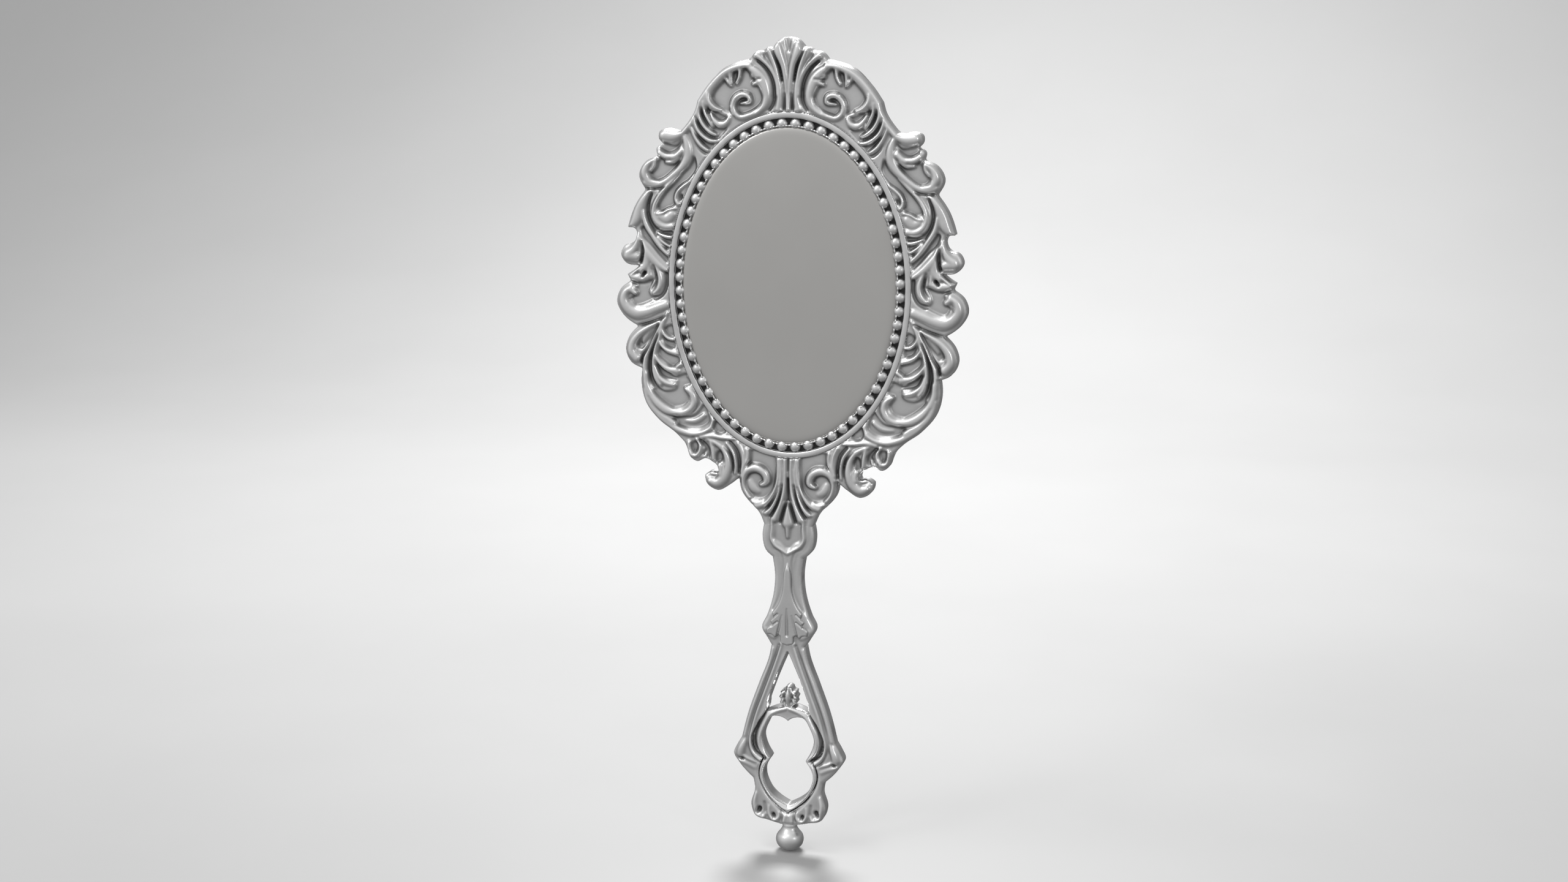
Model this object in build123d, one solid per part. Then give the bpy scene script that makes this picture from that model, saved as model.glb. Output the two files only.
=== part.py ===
from build123d import *
import os

# Ornate hand mirror, in millimetres. +Z runs up the handle to the crest, the glass faces -Y,
# and the origin is under the pommel, on the centre line, half way through the thickness.

# ---- driving dimensions ----
OVAL_Z = 191.1                      # height of the centre of the oval
BEZEL_OUT = (40.0, 55.75)           # half axes of the flat bezel ring, outside
BEZEL_IN = (38.1, 53.85)            # half axes of the flat bezel ring, inside
RIM_OUT = (36.0, 51.6)              # half axes of the thin rim round the glass, outside
GLASS = (35.4, 51.0)                # half axes of the glass
BEAD_LINE = (36.3, 52.0)            # half axes of the line of bead centres
BEAD_R = 1.9
BEAD_COUNT = 64
FIT = 0.1                           # clearance of the pieces laid in the oval recess

SCROLL_Y = -4.0                     # front of the raised scrolls
BEZEL_Y = -3.0                      # front of the bezel ring
FIELD_Y = -1.8                      # flat field between the scrolls, front of the head frame
GROOVE_Y = -2.7                     # bottom of the lines cut in the scrolls
RIM_Y = -3.2                        # front of the rim round the glass
GLASS_Y = -2.8                      # front of the glass
BEAD_SEAT_Y = -1.4                  # floor of the channel that the beads stand in
PAD_Y = -0.6                        # front of the felt pad
BOARD_Y = 0.8                       # front of the backing board
PLUG_Y = 2.0                        # front of the back plate's plug
HEAD_BACK_Y = 3.6                   # back of the head frame
FLANGE_Y = 4.2                      # back of the back plate's flange
FLANGE = (41.4, 57.15)              # half axes of the back plate's flange

JOINT_Z = 113.0                     # where the handle meets the head
STEM_TOP_Z = 102.0
STEM_FOOT_Z = 72.0
LOOP_FOOT_Z = 9.4                   # underside of the handle, where the pommel starts
HANDLE_Y = 3.6                      # half thickness of the handle
TRACERY_Y = 3.0                     # half thickness of the tracery
BUD_Y = 3.4                         # half thickness of the bud
LEAF_Y = -4.2                       # front of the shield and of the leaf laid on the stem
PANEL_Y = -3.2                      # front of the panel sunk in the shield
POMMEL_R = 4.7

TANG = (5.0, 1.6, 18.0)             # width, thickness, length
TANG_Z = 114.0                      # middle of the tang
RIVET_R = 1.0
RIVET_Z = (107.5, 120.5)
STUD_R = 1.2
STUD_Z = (5.0, 12.4)
SCREW_R = 0.65
SCREW_HEAD_R = 1.1
SCREW_LINE = (39.7, 55.45)          # half axes of the line that the screws stand on
SCREW_TIP_Y = 0.4
SCREW_ANGLES = (45, 135, 225, 315)

# ---- outlines: runs of points (x, z) of the right half; each run is one smooth curve ----
HEAD_OUTLINE = [
    [(0, 270), (2.9, 269.2), (5, 266.7)],
    [(5, 266.7), (6.4, 266.9), (8, 265.7)],
    [(8, 265.7), (10.3, 265.5), (12.6, 263)],
    [(12.6, 263), (16, 262.3), (20.5, 260.6), (25.5, 256), (29.9, 250)],
    [(29.9, 250), (30.9, 246.6), (33, 243.3), (35.3, 240.6)],
    [(35.3, 240.6), (37, 240.3), (40, 241), (42.8, 239.9), (42.9, 237.6), (41.3, 236.1)],
    [(41.3, 236.1), (43.8, 234.7), (43.3, 232.3)],
    [(43.3, 232.3), (47.8, 230.1), (49.8, 226.2), (47.6, 221.4)],
    [(47.6, 221.4), (51, 216.7), (53.9, 209)],
    [(53.9, 209), (51.2, 208.5), (50.7, 206.8)],
    [(50.7, 206.8), (51.6, 204.5), (54.9, 203.2), (56.3, 200.2), (54.8, 197.6), (49.9, 196.8)],
    [(49.9, 196.8), (51.5, 195.5), (54.2, 193.8)],
    [(54.2, 193.8), (53, 191.6)],
    [(53, 191.6), (56.7, 188.8), (57.9, 184.7), (55.6, 180.2), (50.7, 176.8)],
    [(50.7, 176.8), (53.9, 173.3), (55.1, 169), (53.2, 164.7), (49.5, 162.9)],
    [(49.5, 162.9), (49.9, 158.3), (48.3, 151.6), (43.6, 145.7), (38.4, 141.9), (35.2, 138.8)],
    [(35.2, 138.8), (34.3, 136.8), (33.2, 133.9), (31.1, 132.6), (28, 133.8), (25.7, 132.7)],
    [(25.7, 132.7), (24.1, 131.4), (23.9, 129.4), (26, 129.6), (28.4, 128.3)],
    [(28.4, 128.3), (27.8, 125.6), (24, 123.3), (19.8, 125.4), (16.6, 128)],
    [(16.6, 128), (15.9, 123.8), (13, 119.8)],
    [(13, 119.8), (10.1, 116.9), (8.3, JOINT_Z)],
]
COLLAR_SIDE = [(8.3, JOINT_Z), (8.8, 108.5), (7.6, 104), (5.4, STEM_TOP_Z)]
STEM_SIDE = [
    (5.4, STEM_TOP_Z), (4.6, 96), (5.3, 88.5), (7.2, 82.2), (9, 77.8), (7.2, 74.3), (5.8, STEM_FOOT_Z),
]
LOOP_SIDE = [
    [(5.8, STEM_FOOT_Z), (6.6, 68), (9.9, 59), (13.8, 48), (16.1, 39)],
    [(16.1, 39), (17.9, 35.9), (18.9, 33.5), (17, 30), (12.2, 25)],
    [(12.2, 25), (11.6, 21.5), (12.9, 15.5), (11.5, 11.8), (7, 10.4), (2.6, LOOP_FOOT_Z)],
]
LOOP_HOLE = [
    [(0, 70), (4.2, 60), (6.9, 52.5)],
    [(6.9, 52.5), (7, 50.5), (10.3, 44.5), (12.3, 39), (11.4, 35), (8.5, 32.7)],
    [(8.5, 32.7), (10.1, 27), (7.4, 20), (0, 13.7)],
]
TRACERY_OUT = [
    [(0, 51.2), (3, 50.7), (8, 48.6)],
    [(8, 48.6), (10.2, 44.5), (12.2, 39), (11.3, 35.1), (8.4, 32.7)],
    [(8.4, 32.7), (10, 27), (7.3, 20.1), (0, 13.8)],
]
TRACERY_IN = [
    [(0, 45.9), (1.2, 46.8), (2.6, 47.3), (5, 47.3), (7.6, 43.6), (8.8, 39.8), (8, 36.2), (6, 32.5)],
    [(6, 32.5), (8.4, 28), (6.6, 21.2), (0, 16.3)],
]
BUD_SIDE = [
    (0, 58.1), (1.2, 57.4), (1.5, 56.5), (2.7, 56), (2.5, 55), (3.2, 54.3),
    (2.6, 53.2), (2.9, 52.2), (1.8, 51.2), (1.2, 50.2),
]
LEAF_SIDE = [
    [(0, 101), (1.3, 97), (1.9, 90), (3.4, 86), (5.2, 83.6)],
    [(5.2, 83.6), (4.8, 81.9)],
    [(4.8, 81.9), (5.9, 80.6)],
    [(5.9, 80.6), (5.1, 79.2)],
    [(5.1, 79.2), (7, 77.9), (6.9, 75.9)],
    [(6.9, 75.9), (5.2, 75.8), (4.3, 74.8)],
    [(4.3, 74.8), (2.6, 75.6), (2.1, 73.3), (0, 72.4)],
]
SHIELD_SIDE = [(0, 101.6), (2.5, 104.6), (4.8, 106), (6, 107.7), (5.9, JOINT_Z)]
SHIELD_PANEL_SIDE = [(0, 104.4), (2.6, 106.5), (4.5, 107.8), (4.6, JOINT_Z)]
TONGUE_SIDE = [(0, 107.8), (1.1, 108.9), (1.4, JOINT_Z)]
POMMEL_SIDE = [(2.6, LOOP_FOOT_Z), (2.9, 8), (4.3, 5.6), (POMMEL_R, 3.6), (3.4, 0.9), (0, 0)]

# lines that part the castings, from the bezel to outside the head
CREST_PART = [(5.2, 240), (5.3, 247), (4.5, 253), (7, 260), (11.8, 264.6), (13, 276)]
HORN_PART = [(26, 222), (30.6, 231.5), (31.4, 236.4), (35.3, 240.6), (38, 256)]
SIDE_PART = [(36, 194), (41, 199), (46, 205.6), (50.7, 207.2), (66, 205)]
LOWER_PART = [(36, 182.6), (43, 180), (50.7, 176.8), (66, 173)]
HOOK_PART = [(18, 149), (24.4, 142.5), (28, 140), (35.2, 138.8), (54, 134)]
VOLUTE_PART = [(17.2, 145), (17, 137), (16.3, 133), (16.6, 128), (18, 108)]
SHELL_PART = [(3.9, 142), (3.8, 130), (5.5, 123), (8.6, 119.4), (16, 108)]

# per casting: flat fields cut down to the head frame, and lines cut with a round tool
FIELDS = {
    "crest": [],
    "upper": [[
        (12.4, 259.6), (17, 259.4), (22.6, 255.4), (23.2, 250.8), (20.6, 250.2), (17.6, 254.2), (12.2, 254.6),
    ]],
    "horn": [[(36.5, 234.2), (42, 231.6), (45, 227.8), (43, 225.9), (39, 227), (36.3, 230)]],
    "side": [[(46.2, 189.4), (49, 189.2), (50, 186.4), (48, 184.8), (46, 186)]],
    "lower": [
        [(46.6, 174.6), (50, 173.6), (50.7, 170.6), (48.6, 170.2)],
        [(36.6, 160.4), (40.6, 156.6), (44, 155.8), (41, 151.6), (35.6, 151.4)],
        [(27, 146.6), (29.2, 144.2), (34, 143.9), (37.6, 145.8), (32.4, 146.8), (29, 149.2)],
    ],
    "hook": [[(21.6, 134.6), (23.2, 136), (24.4, 134.2), (23, 132.4)]],
    "volute": [],
    "shell": [],
}
GROOVES = {
    "crest": [[(5, 265.4), (2.6, 261), (1.8, 256), (1.7, 250)], [(0.9, 268), (0.7, 262), (0.5, 255)]],
    "upper": [
        [(9, 253.6), (8.5, 250), (9.2, 247.4)],
        [(12.4, 250.6), (13.6, 247.4), (16.4, 248.6), (15.6, 251.4)],
        [(19, 246), (20.6, 241.6)],
        [(27.4, 248.4), (24.4, 242.2)],
        [(30, 244.6), (27.8, 239.6), (24.4, 239)],
    ],
    "horn": [
        [(34.6, 237), (38, 234.9), (41.3, 235.6)],
        [(46.6, 221.4), (41, 221.6), (37.6, 225), (33.4, 229.4)],
        [(45.6, 219.6), (46.6, 215), (44.4, 209.8), (40.2, 207.2)],
    ],
    "side": [
        [(49, 204.4), (48.4, 201.6), (49.6, 198.4)],
        [(44.6, 197), (43.6, 192.8), (45.4, 188.2)],
        [(53, 192), (49, 191), (45.6, 191.9)],
    ],
    "lower": [
        [(42.4, 179.2), (44.6, 172.6), (47.4, 166.2)],
        [(40, 177.8), (38.2, 171.6), (36.4, 166.8)],
        [(30, 152.6), (32, 149.2), (37, 147.8), (43, 149.9), (46.6, 154.6)],
    ],
    "hook": [[(19.6, 138.4), (17.6, 134.6), (17.4, 130.6)], [(29.4, 138.6), (27, 136.6), (28.4, 135.6)]],
    "volute": [[(12.6, 123.4), (13.6, 127), (12, 130.4), (8.8, 130.2), (8.2, 127.2), (10.4, 126.6)]],
    "shell": [
        [(0.5, 129), (1, 121.6), (2.8, 114.4)],
        [(2.3, 127), (3.6, 120), (5.8, 116)],
        [(2.6, 129), (5, 121), (7.8, 118)],
    ],
}
GROOVE_W = 0.9


# ---- shared tools ----
def at(point, y=0.0):
    """A point (x, z) of the front view, at depth y."""
    return Vector(point[0], y, point[1])


def curve(points):
    """One smooth curve through points (x, z), or a straight line through two."""
    places = [at(p) for p in points]
    return Line(*places) if len(places) == 2 else Spline(*places)


def half_face(runs):
    """The face between the runs and the centre line, closed level at its two ends."""
    edges = [curve(run) for run in runs]
    first, last = runs[0][0], runs[-1][-1]
    if first[0] > 0:
        edges.append(Line(at((0, first[1])), at(first)))
    if last[0] > 0:
        edges.append(Line(at(last), at((0, last[1]))))
    edges.append(Line(at((0, last[1])), at((0, first[1]))))
    return Face(Wire(edges))


def slab(face, front, back):
    """A face of the front view as a solid between two depths."""
    return extrude(Pos(0, front, 0) * face, amount=back - front, dir=(0, 1, 0))


def both(shape):
    """A right half and its mirror image, as one solid."""
    return shape + mirror(shape, about=Plane.YZ)


def oval(axes, front, back):
    """An oval disc about the centre of the head."""
    face = Plane.XZ * Ellipse(axes[0], axes[1])
    return slab(Pos(0, 0, OVAL_Z) * face, front, back)


def oval_ring(outer, inner, front, back):
    return oval(outer, front, back) - oval(inner, front - 1, back + 1)


def rod_y(x, z, radius, front, back):
    """A round rod along Y."""
    return Pos(x, (front + back) / 2, z) * Rot(90, 0, 0) * Cylinder(radius, back - front)


def screw_places():
    ellipse = Pos(0, 0, OVAL_Z) * (Plane.XZ * Edge.make_ellipse(*SCREW_LINE))
    return [ellipse.position_at(angle / 360) for angle in SCREW_ANGLES]


def groove(points):
    """A round-ended cutter that follows a curve, from the groove's floor forwards."""
    line = curve(points)
    normal = line.tangent_at(0).cross(Vector(0, 1, 0))
    start = at(points[0]) + normal * (GROOVE_W / 2)
    end = at(points[0]) - normal * (GROOVE_W / 2)
    section = Wire.make_polygon([
        start + Vector(0, GROOVE_Y, 0), end + Vector(0, GROOVE_Y, 0),
        end + Vector(0, SCROLL_Y - 1, 0), start + Vector(0, SCROLL_Y - 1, 0)])
    return sweep(Face(section), path=line)


# ---- the head ----
def tang_slot():
    return Pos(0, 0, TANG_Z) * Box(*TANG)


def rivet_holes():
    return [rod_y(0, z, RIVET_R, 0, HANDLE_Y + 1) for z in RIVET_Z]


def head_frame():
    """The silhouette of the whole head, with the oval cut right through for the glass."""
    body = both(slab(half_face(HEAD_OUTLINE), FIELD_Y, HEAD_BACK_Y))
    body -= oval(BEZEL_IN, FIELD_Y - 1, HEAD_BACK_Y + 1)
    body -= tang_slot()
    for hole in rivet_holes():
        body -= hole
    for place in screw_places():
        body -= rod_y(place.X, place.Z, SCREW_R, SCREW_TIP_Y, HEAD_BACK_Y + 1)
    return body


def casting(name, first, second, mirrored):
    """One casting of the border, between two parting lines or between one and the centre line."""
    body = slab(half_face(HEAD_OUTLINE), SCROLL_Y, FIELD_Y) - oval(BEZEL_OUT, SCROLL_Y - 1, FIELD_Y + 1)
    far_side = [at(p) for p in first] + [at(p) for p in reversed(second)]
    body &= slab(Face(Wire.make_polygon(far_side)), SCROLL_Y - 1, FIELD_Y)
    for field in FIELDS[name]:
        body -= slab(Face(Wire([Spline(*[at(p) for p in field], periodic=True)])), SCROLL_Y - 1, FIELD_Y)
    for line in GROOVES[name]:
        body -= groove(line)
    return both(body) if mirrored else body


def bead_channel():
    return oval_ring((BEZEL_IN[0] - FIT, BEZEL_IN[1] - FIT), RIM_OUT, BEAD_SEAT_Y, PAD_Y)


def pearl_beads():
    """Half-round beads in a row round the glass, tucked against the rim."""
    ellipse = Pos(0, 0, OVAL_Z) * (Plane.XZ * Edge.make_ellipse(*BEAD_LINE))
    rim = oval(RIM_OUT, BEAD_SEAT_Y - BEAD_R - 1, BEAD_SEAT_Y + 1)
    bezel = oval_ring(BEZEL_OUT, BEZEL_IN, BEAD_SEAT_Y - BEAD_R - 1, BEAD_SEAT_Y + 1)
    beads = []
    for number in range(BEAD_COUNT):
        length = ellipse.length * (number + 0.5) / BEAD_COUNT
        place = ellipse.position_at(length, position_mode=PositionMode.LENGTH)
        half_ball = Sphere(BEAD_R, arc_size1=0, align=(Align.CENTER, Align.CENTER, Align.MIN))
        dome = Pos(place.X, BEAD_SEAT_Y, place.Z) * Rot(90, 0, 0) * half_ball
        beads.append((dome - rim - bezel).solids()[0])
    return Compound(beads)


def mirror_glass():
    glass = oval(GLASS, GLASS_Y, PAD_Y)
    front = glass.faces().sort_by(Axis.Y)[0]
    return chamfer(front.edges(), 0.5)


def back_plate():
    """A shallow dome with a flange, and a plug that fills the back of the oval."""
    flange = oval(FLANGE, HEAD_BACK_Y, FLANGE_Y)
    flange = chamfer(flange.faces().sort_by(Axis.Y)[-1].edges(), 0.4)
    plate = flange + oval((BEZEL_IN[0] - FIT, BEZEL_IN[1] - FIT), PLUG_Y, HEAD_BACK_Y)
    plate += oval((33, 48.5), FLANGE_Y, FLANGE_Y + 0.4)
    for place in screw_places():
        plate -= rod_y(place.X, place.Z, SCREW_HEAD_R, HEAD_BACK_Y + 0.2, FLANGE_Y + 1)
        plate -= rod_y(place.X, place.Z, SCREW_R, PLUG_Y, FLANGE_Y + 1)
    return plate


def back_plate_screws():
    screws = []
    for place in screw_places():
        shank = rod_y(place.X, place.Z, SCREW_R, SCREW_TIP_Y, HEAD_BACK_Y + 0.2)
        screw = shank + rod_y(place.X, place.Z, SCREW_HEAD_R, HEAD_BACK_Y + 0.2, FLANGE_Y + 0.2)
        screws.append((screw - Pos(place.X, FLANGE_Y + 0.2, place.Z) * Box(2.4, 0.5, 0.4)).solids()[0])
    return Compound(screws)


# ---- the handle ----
def handle_collar():
    """The waisted block under the head, with a raised shield and tongue on its front."""
    body = slab(half_face([COLLAR_SIDE]), -HANDLE_Y, HANDLE_Y)
    shield = slab(half_face([SHIELD_SIDE]), LEAF_Y, -HANDLE_Y)
    panel = slab(half_face([SHIELD_PANEL_SIDE]), LEAF_Y - 1, PANEL_Y)
    tongue = slab(half_face([TONGUE_SIDE]), LEAF_Y, PANEL_Y)
    body = both(body + shield - panel + tongue) - tang_slot()
    for hole in rivet_holes():
        body -= hole
    return body


def handle_stem():
    return both(slab(half_face([STEM_SIDE]), -HANDLE_Y, HANDLE_Y))


def stem_leaf():
    return both(slab(half_face(LEAF_SIDE), LEAF_Y, -HANDLE_Y))


def handle_loop():
    """The two rails, their side bosses and the scalloped foot, round one tall opening."""
    body = both(slab(half_face(LOOP_SIDE), -HANDLE_Y, HANDLE_Y))
    return body - loop_hole(HANDLE_Y + 1) - stud()


def loop_hole(half_depth):
    return both(slab(half_face(LOOP_HOLE), -half_depth, half_depth))


def tracery_ring():
    """The cusped inner ring between the rails."""
    ring = both(slab(half_face(TRACERY_OUT), -TRACERY_Y, TRACERY_Y)) & loop_hole(TRACERY_Y)
    return ring - both(slab(half_face(TRACERY_IN), -HANDLE_Y, HANDLE_Y))


def bud_finial():
    bud = both(slab(half_face([BUD_SIDE]), -BUD_Y, BUD_Y))
    return bud - both(slab(half_face(TRACERY_OUT), -HANDLE_Y, HANDLE_Y))


def stud():
    """The rod that holds the pommel to the handle."""
    middle = sum(STUD_Z) / 2
    return Pos(0, 0, middle) * Cylinder(STUD_R, STUD_Z[1] - STUD_Z[0])


def pommel():
    """A drop turned about the handle's axis, bored for its stud."""
    return revolve(half_face([POMMEL_SIDE]), axis=Axis.Z) - stud()


def handle_tang():
    tang = tang_slot()
    for hole in rivet_holes():
        tang -= hole
    return tang


def tang_rivets():
    """Two rivets, flush with the back."""
    return Compound([rod_y(0, z, RIVET_R, 0, HANDLE_Y).solids()[0] for z in RIVET_Z])


def save(name, shape):
    export_step(shape, f"parts/{name}.step")


def main():
    os.makedirs("parts", exist_ok=True)
    centre_top = [(0, 240), (0, 276)]
    centre_foot = [(0, 142), (0, 108)]
    save("head_frame", head_frame())
    save("crest_shell", casting("crest", centre_top, CREST_PART, True))
    save("base_shell", casting("shell", SHELL_PART, centre_foot, True))
    pairs = {
        "upper_scroll": ("upper", CREST_PART, HORN_PART),
        "horn_leaf": ("horn", HORN_PART, SIDE_PART),
        "side_scroll": ("side", SIDE_PART, LOWER_PART),
        "lower_scroll": ("lower", LOWER_PART, HOOK_PART),
        "hook_leaf": ("hook", HOOK_PART, VOLUTE_PART),
        "base_volute": ("volute", VOLUTE_PART, SHELL_PART),
    }
    for name, (kind, first, second) in pairs.items():
        right = casting(kind, first, second, False)
        save(name + "_right", right)
        save(name + "_left", mirror(right, about=Plane.YZ))
    save("bezel_ring", oval_ring(BEZEL_OUT, BEZEL_IN, BEZEL_Y, FIELD_Y))
    save("bead_channel", bead_channel())
    save("pearl_beads", pearl_beads())
    save("glass_rim", oval_ring(RIM_OUT, GLASS, RIM_Y, PAD_Y))
    save("mirror_glass", mirror_glass())
    save("glass_pad", oval((BEZEL_IN[0] - FIT, BEZEL_IN[1] - FIT), PAD_Y, BOARD_Y))
    save("backing_board", oval((BEZEL_IN[0] - FIT, BEZEL_IN[1] - FIT), BOARD_Y, PLUG_Y))
    save("back_plate", back_plate())
    save("back_plate_screws", back_plate_screws())
    save("handle_tang", handle_tang())
    save("tang_rivets", tang_rivets())
    save("handle_collar", handle_collar())
    save("handle_stem", handle_stem())
    save("stem_leaf", stem_leaf())
    save("handle_loop", handle_loop())
    save("tracery_ring", tracery_ring())
    save("bud_finial", bud_finial())
    save("pommel", pommel())
    save("pommel_stud", stud())


main()
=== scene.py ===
import math

import bpy
import numpy as np
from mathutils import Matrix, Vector
from mathutils.geometry import tessellate_polygon


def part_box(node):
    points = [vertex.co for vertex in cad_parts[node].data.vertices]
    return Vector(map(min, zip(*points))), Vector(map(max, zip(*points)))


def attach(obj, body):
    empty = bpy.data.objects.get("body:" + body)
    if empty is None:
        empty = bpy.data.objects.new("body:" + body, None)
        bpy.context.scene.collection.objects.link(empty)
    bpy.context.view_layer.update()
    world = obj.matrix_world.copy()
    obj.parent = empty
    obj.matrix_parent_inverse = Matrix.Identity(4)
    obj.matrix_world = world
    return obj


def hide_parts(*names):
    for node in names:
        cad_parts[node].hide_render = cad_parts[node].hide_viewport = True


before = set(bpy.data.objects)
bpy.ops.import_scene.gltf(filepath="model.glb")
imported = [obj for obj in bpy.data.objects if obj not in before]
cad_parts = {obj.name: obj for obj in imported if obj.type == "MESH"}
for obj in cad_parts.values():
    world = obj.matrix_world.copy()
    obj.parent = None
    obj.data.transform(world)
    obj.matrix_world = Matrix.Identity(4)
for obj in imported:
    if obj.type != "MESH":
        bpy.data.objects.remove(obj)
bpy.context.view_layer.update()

# The looks of the hand mirror. Outlines and strokes are points (x, z) of the front view in
# millimetres, for the right half; everything in Blender is in metres, in the frame's own axes.

MM = 0.001


def low(node):
    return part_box(node)[0] / MM


def high(node):
    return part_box(node)[1] / MM


# ---- sizes taken from the frame, in millimetres ----
FRONT = low("head_frame").y                     # plane that the front relief stands on
BEZEL_OUT = (high("bezel_ring").x, (high("bezel_ring").z - low("bezel_ring").z) / 2)
OVAL_Z = (high("bezel_ring").z + low("bezel_ring").z) / 2
RIM_OUT = (high("glass_rim").x, (high("glass_rim").z - low("glass_rim").z) / 2)
GLASS = (high("mirror_glass").x, (high("mirror_glass").z - low("mirror_glass").z) / 2)
CHANNEL = (high("bead_channel").x, (high("bead_channel").z - low("bead_channel").z) / 2)
FLANGE = (high("back_plate").x, (high("back_plate").z - low("back_plate").z) / 2)
JOINT_Z = high("handle_collar").z
STEM_TOP_Z = high("handle_stem").z
STEM_FOOT_Z = low("handle_stem").z
LOOP_FOOT_Z = low("handle_loop").z
BACK = 1.8                                      # plane that the back relief stands on
HEAD_BACK = high("head_frame").y                # back of the head frame, where the back plate sits

# ---- relief settings, in millimetres ----
STEP = 0.2                                      # spacing of the relief's points
BODY = 1.15                                     # height of the metal between the strokes
EDGE_ROUND = 1.15                               # width of the rounding along the silhouette
REACH = 3.0                                     # how far distances to an outline are followed
BACK_SHARE = 0.8                                # height of the back's relief over the front's
FIELD_SLOPE = 0.45                              # width of the slope down into a sunk field
CAVITY_REACH = (0.7, 1.6)                       # radii of the ground that a point is compared with
CAVITY_NEAR = 0.6                               # share of the nearer of the two in the cavity
SOFTENING = 0.15                                # radius of the last softening of a relief

HEAD_OUTLINE = [
    [(0, 270), (2.9, 269.2), (5, 266.7)],
    [(5, 266.7), (6.4, 266.9), (8, 265.7)],
    [(8, 265.7), (10.3, 265.5), (12.6, 263)],
    [(12.6, 263), (16, 262.3), (20.5, 260.6), (25.5, 256), (29.9, 250)],
    [(29.9, 250), (30.9, 246.6), (33, 243.3), (35.3, 240.6)],
    [(35.3, 240.6), (37, 240.3), (40, 241), (42.8, 239.9), (42.9, 237.6), (41.3, 236.1)],
    [(41.3, 236.1), (43.8, 234.7), (43.3, 232.3)],
    [(43.3, 232.3), (47.8, 230.1), (49.8, 226.2), (47.6, 221.4)],
    [(47.6, 221.4), (51, 216.7), (53.9, 209)],
    [(53.9, 209), (51.2, 208.5), (50.7, 206.8)],
    [(50.7, 206.8), (51.6, 204.5), (54.9, 203.2), (56.3, 200.2), (54.8, 197.6), (49.9, 196.8)],
    [(49.9, 196.8), (51.5, 195.5), (54.2, 193.8)],
    [(54.2, 193.8), (53, 191.6)],
    [(53, 191.6), (56.7, 188.8), (57.9, 184.7), (55.6, 180.2), (50.7, 176.8)],
    [(50.7, 176.8), (53.9, 173.3), (55.1, 169), (53.2, 164.7), (49.5, 162.9)],
    [(49.5, 162.9), (49.9, 158.3), (48.3, 151.6), (43.6, 145.7), (38.4, 141.9), (35.2, 138.8)],
    [(35.2, 138.8), (34.3, 136.8), (33.2, 133.9), (31.1, 132.6), (28, 133.8), (25.7, 132.7)],
    [(25.7, 132.7), (24.1, 131.4), (23.9, 129.4), (26, 129.6), (28.4, 128.3)],
    [(28.4, 128.3), (27.8, 125.6), (24, 123.3), (19.8, 125.4), (16.6, 128)],
    [(16.6, 128), (15.9, 123.8), (13, 119.8)],
    [(13, 119.8), (10.1, 116.9), (8.3, JOINT_Z)],
]
COLLAR_SIDE = [(8.3, JOINT_Z), (8.8, 108.5), (7.6, 104), (5.4, STEM_TOP_Z)]
STEM_SIDE = [
    (5.4, STEM_TOP_Z), (4.6, 96), (5.3, 88.5), (7.2, 82.2), (9, 77.8), (7.2, 74.3), (5.8, STEM_FOOT_Z),
]
LOOP_SIDE = [
    [(5.8, STEM_FOOT_Z), (6.6, 68), (9.9, 59), (13.8, 48), (16.1, 39)],
    [(16.1, 39), (17.9, 35.9), (18.9, 33.5), (17, 30), (12.2, 25)],
    [(12.2, 25), (11.6, 21.5), (12.9, 15.5), (11.5, 11.8), (7, 10.4), (2.6, LOOP_FOOT_Z)],
]
LOOP_HOLE = [
    [(0, 70), (4.2, 60), (6.9, 52.5)],
    [(6.9, 52.5), (7, 50.5), (10.3, 44.5), (12.3, 39), (11.4, 35), (8.5, 32.7)],
    [(8.5, 32.7), (10.1, 27), (7.4, 20), (0, 13.7)],
]
TRACERY_OUT = [
    [(0, 51.2), (3, 50.7), (8, 48.6)],
    [(8, 48.6), (10.2, 44.5), (12.2, 39), (11.3, 35.1), (8.4, 32.7)],
    [(8.4, 32.7), (10, 27), (7.3, 20.1), (0, 13.8)],
]
TRACERY_IN = [
    [(0, 45.9), (1.2, 46.8), (2.6, 47.3), (5, 47.3), (7.6, 43.6), (8.8, 39.8), (8, 36.2), (6, 32.5)],
    [(6, 32.5), (8.4, 28), (6.6, 21.2), (0, 16.3)],
]
BUD_SIDE = [
    (0, 58.1), (1.2, 57.4), (1.5, 56.5), (2.7, 56), (2.5, 55), (3.2, 54.3),
    (2.6, 53.2), (2.9, 52.2), (1.8, 51.2), (1.2, 50.2),
]
LEAF_SIDE = [
    [(0, 101), (1.3, 97), (1.9, 90), (3.4, 86), (5.2, 83.6)],
    [(5.2, 83.6), (4.8, 81.9)],
    [(4.8, 81.9), (5.9, 80.6)],
    [(5.9, 80.6), (5.1, 79.2)],
    [(5.1, 79.2), (7, 77.9), (6.9, 75.9)],
    [(6.9, 75.9), (5.2, 75.8), (4.3, 74.8)],
    [(4.3, 74.8), (2.6, 75.6), (2.1, 73.3), (0, 72.4)],
]

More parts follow.
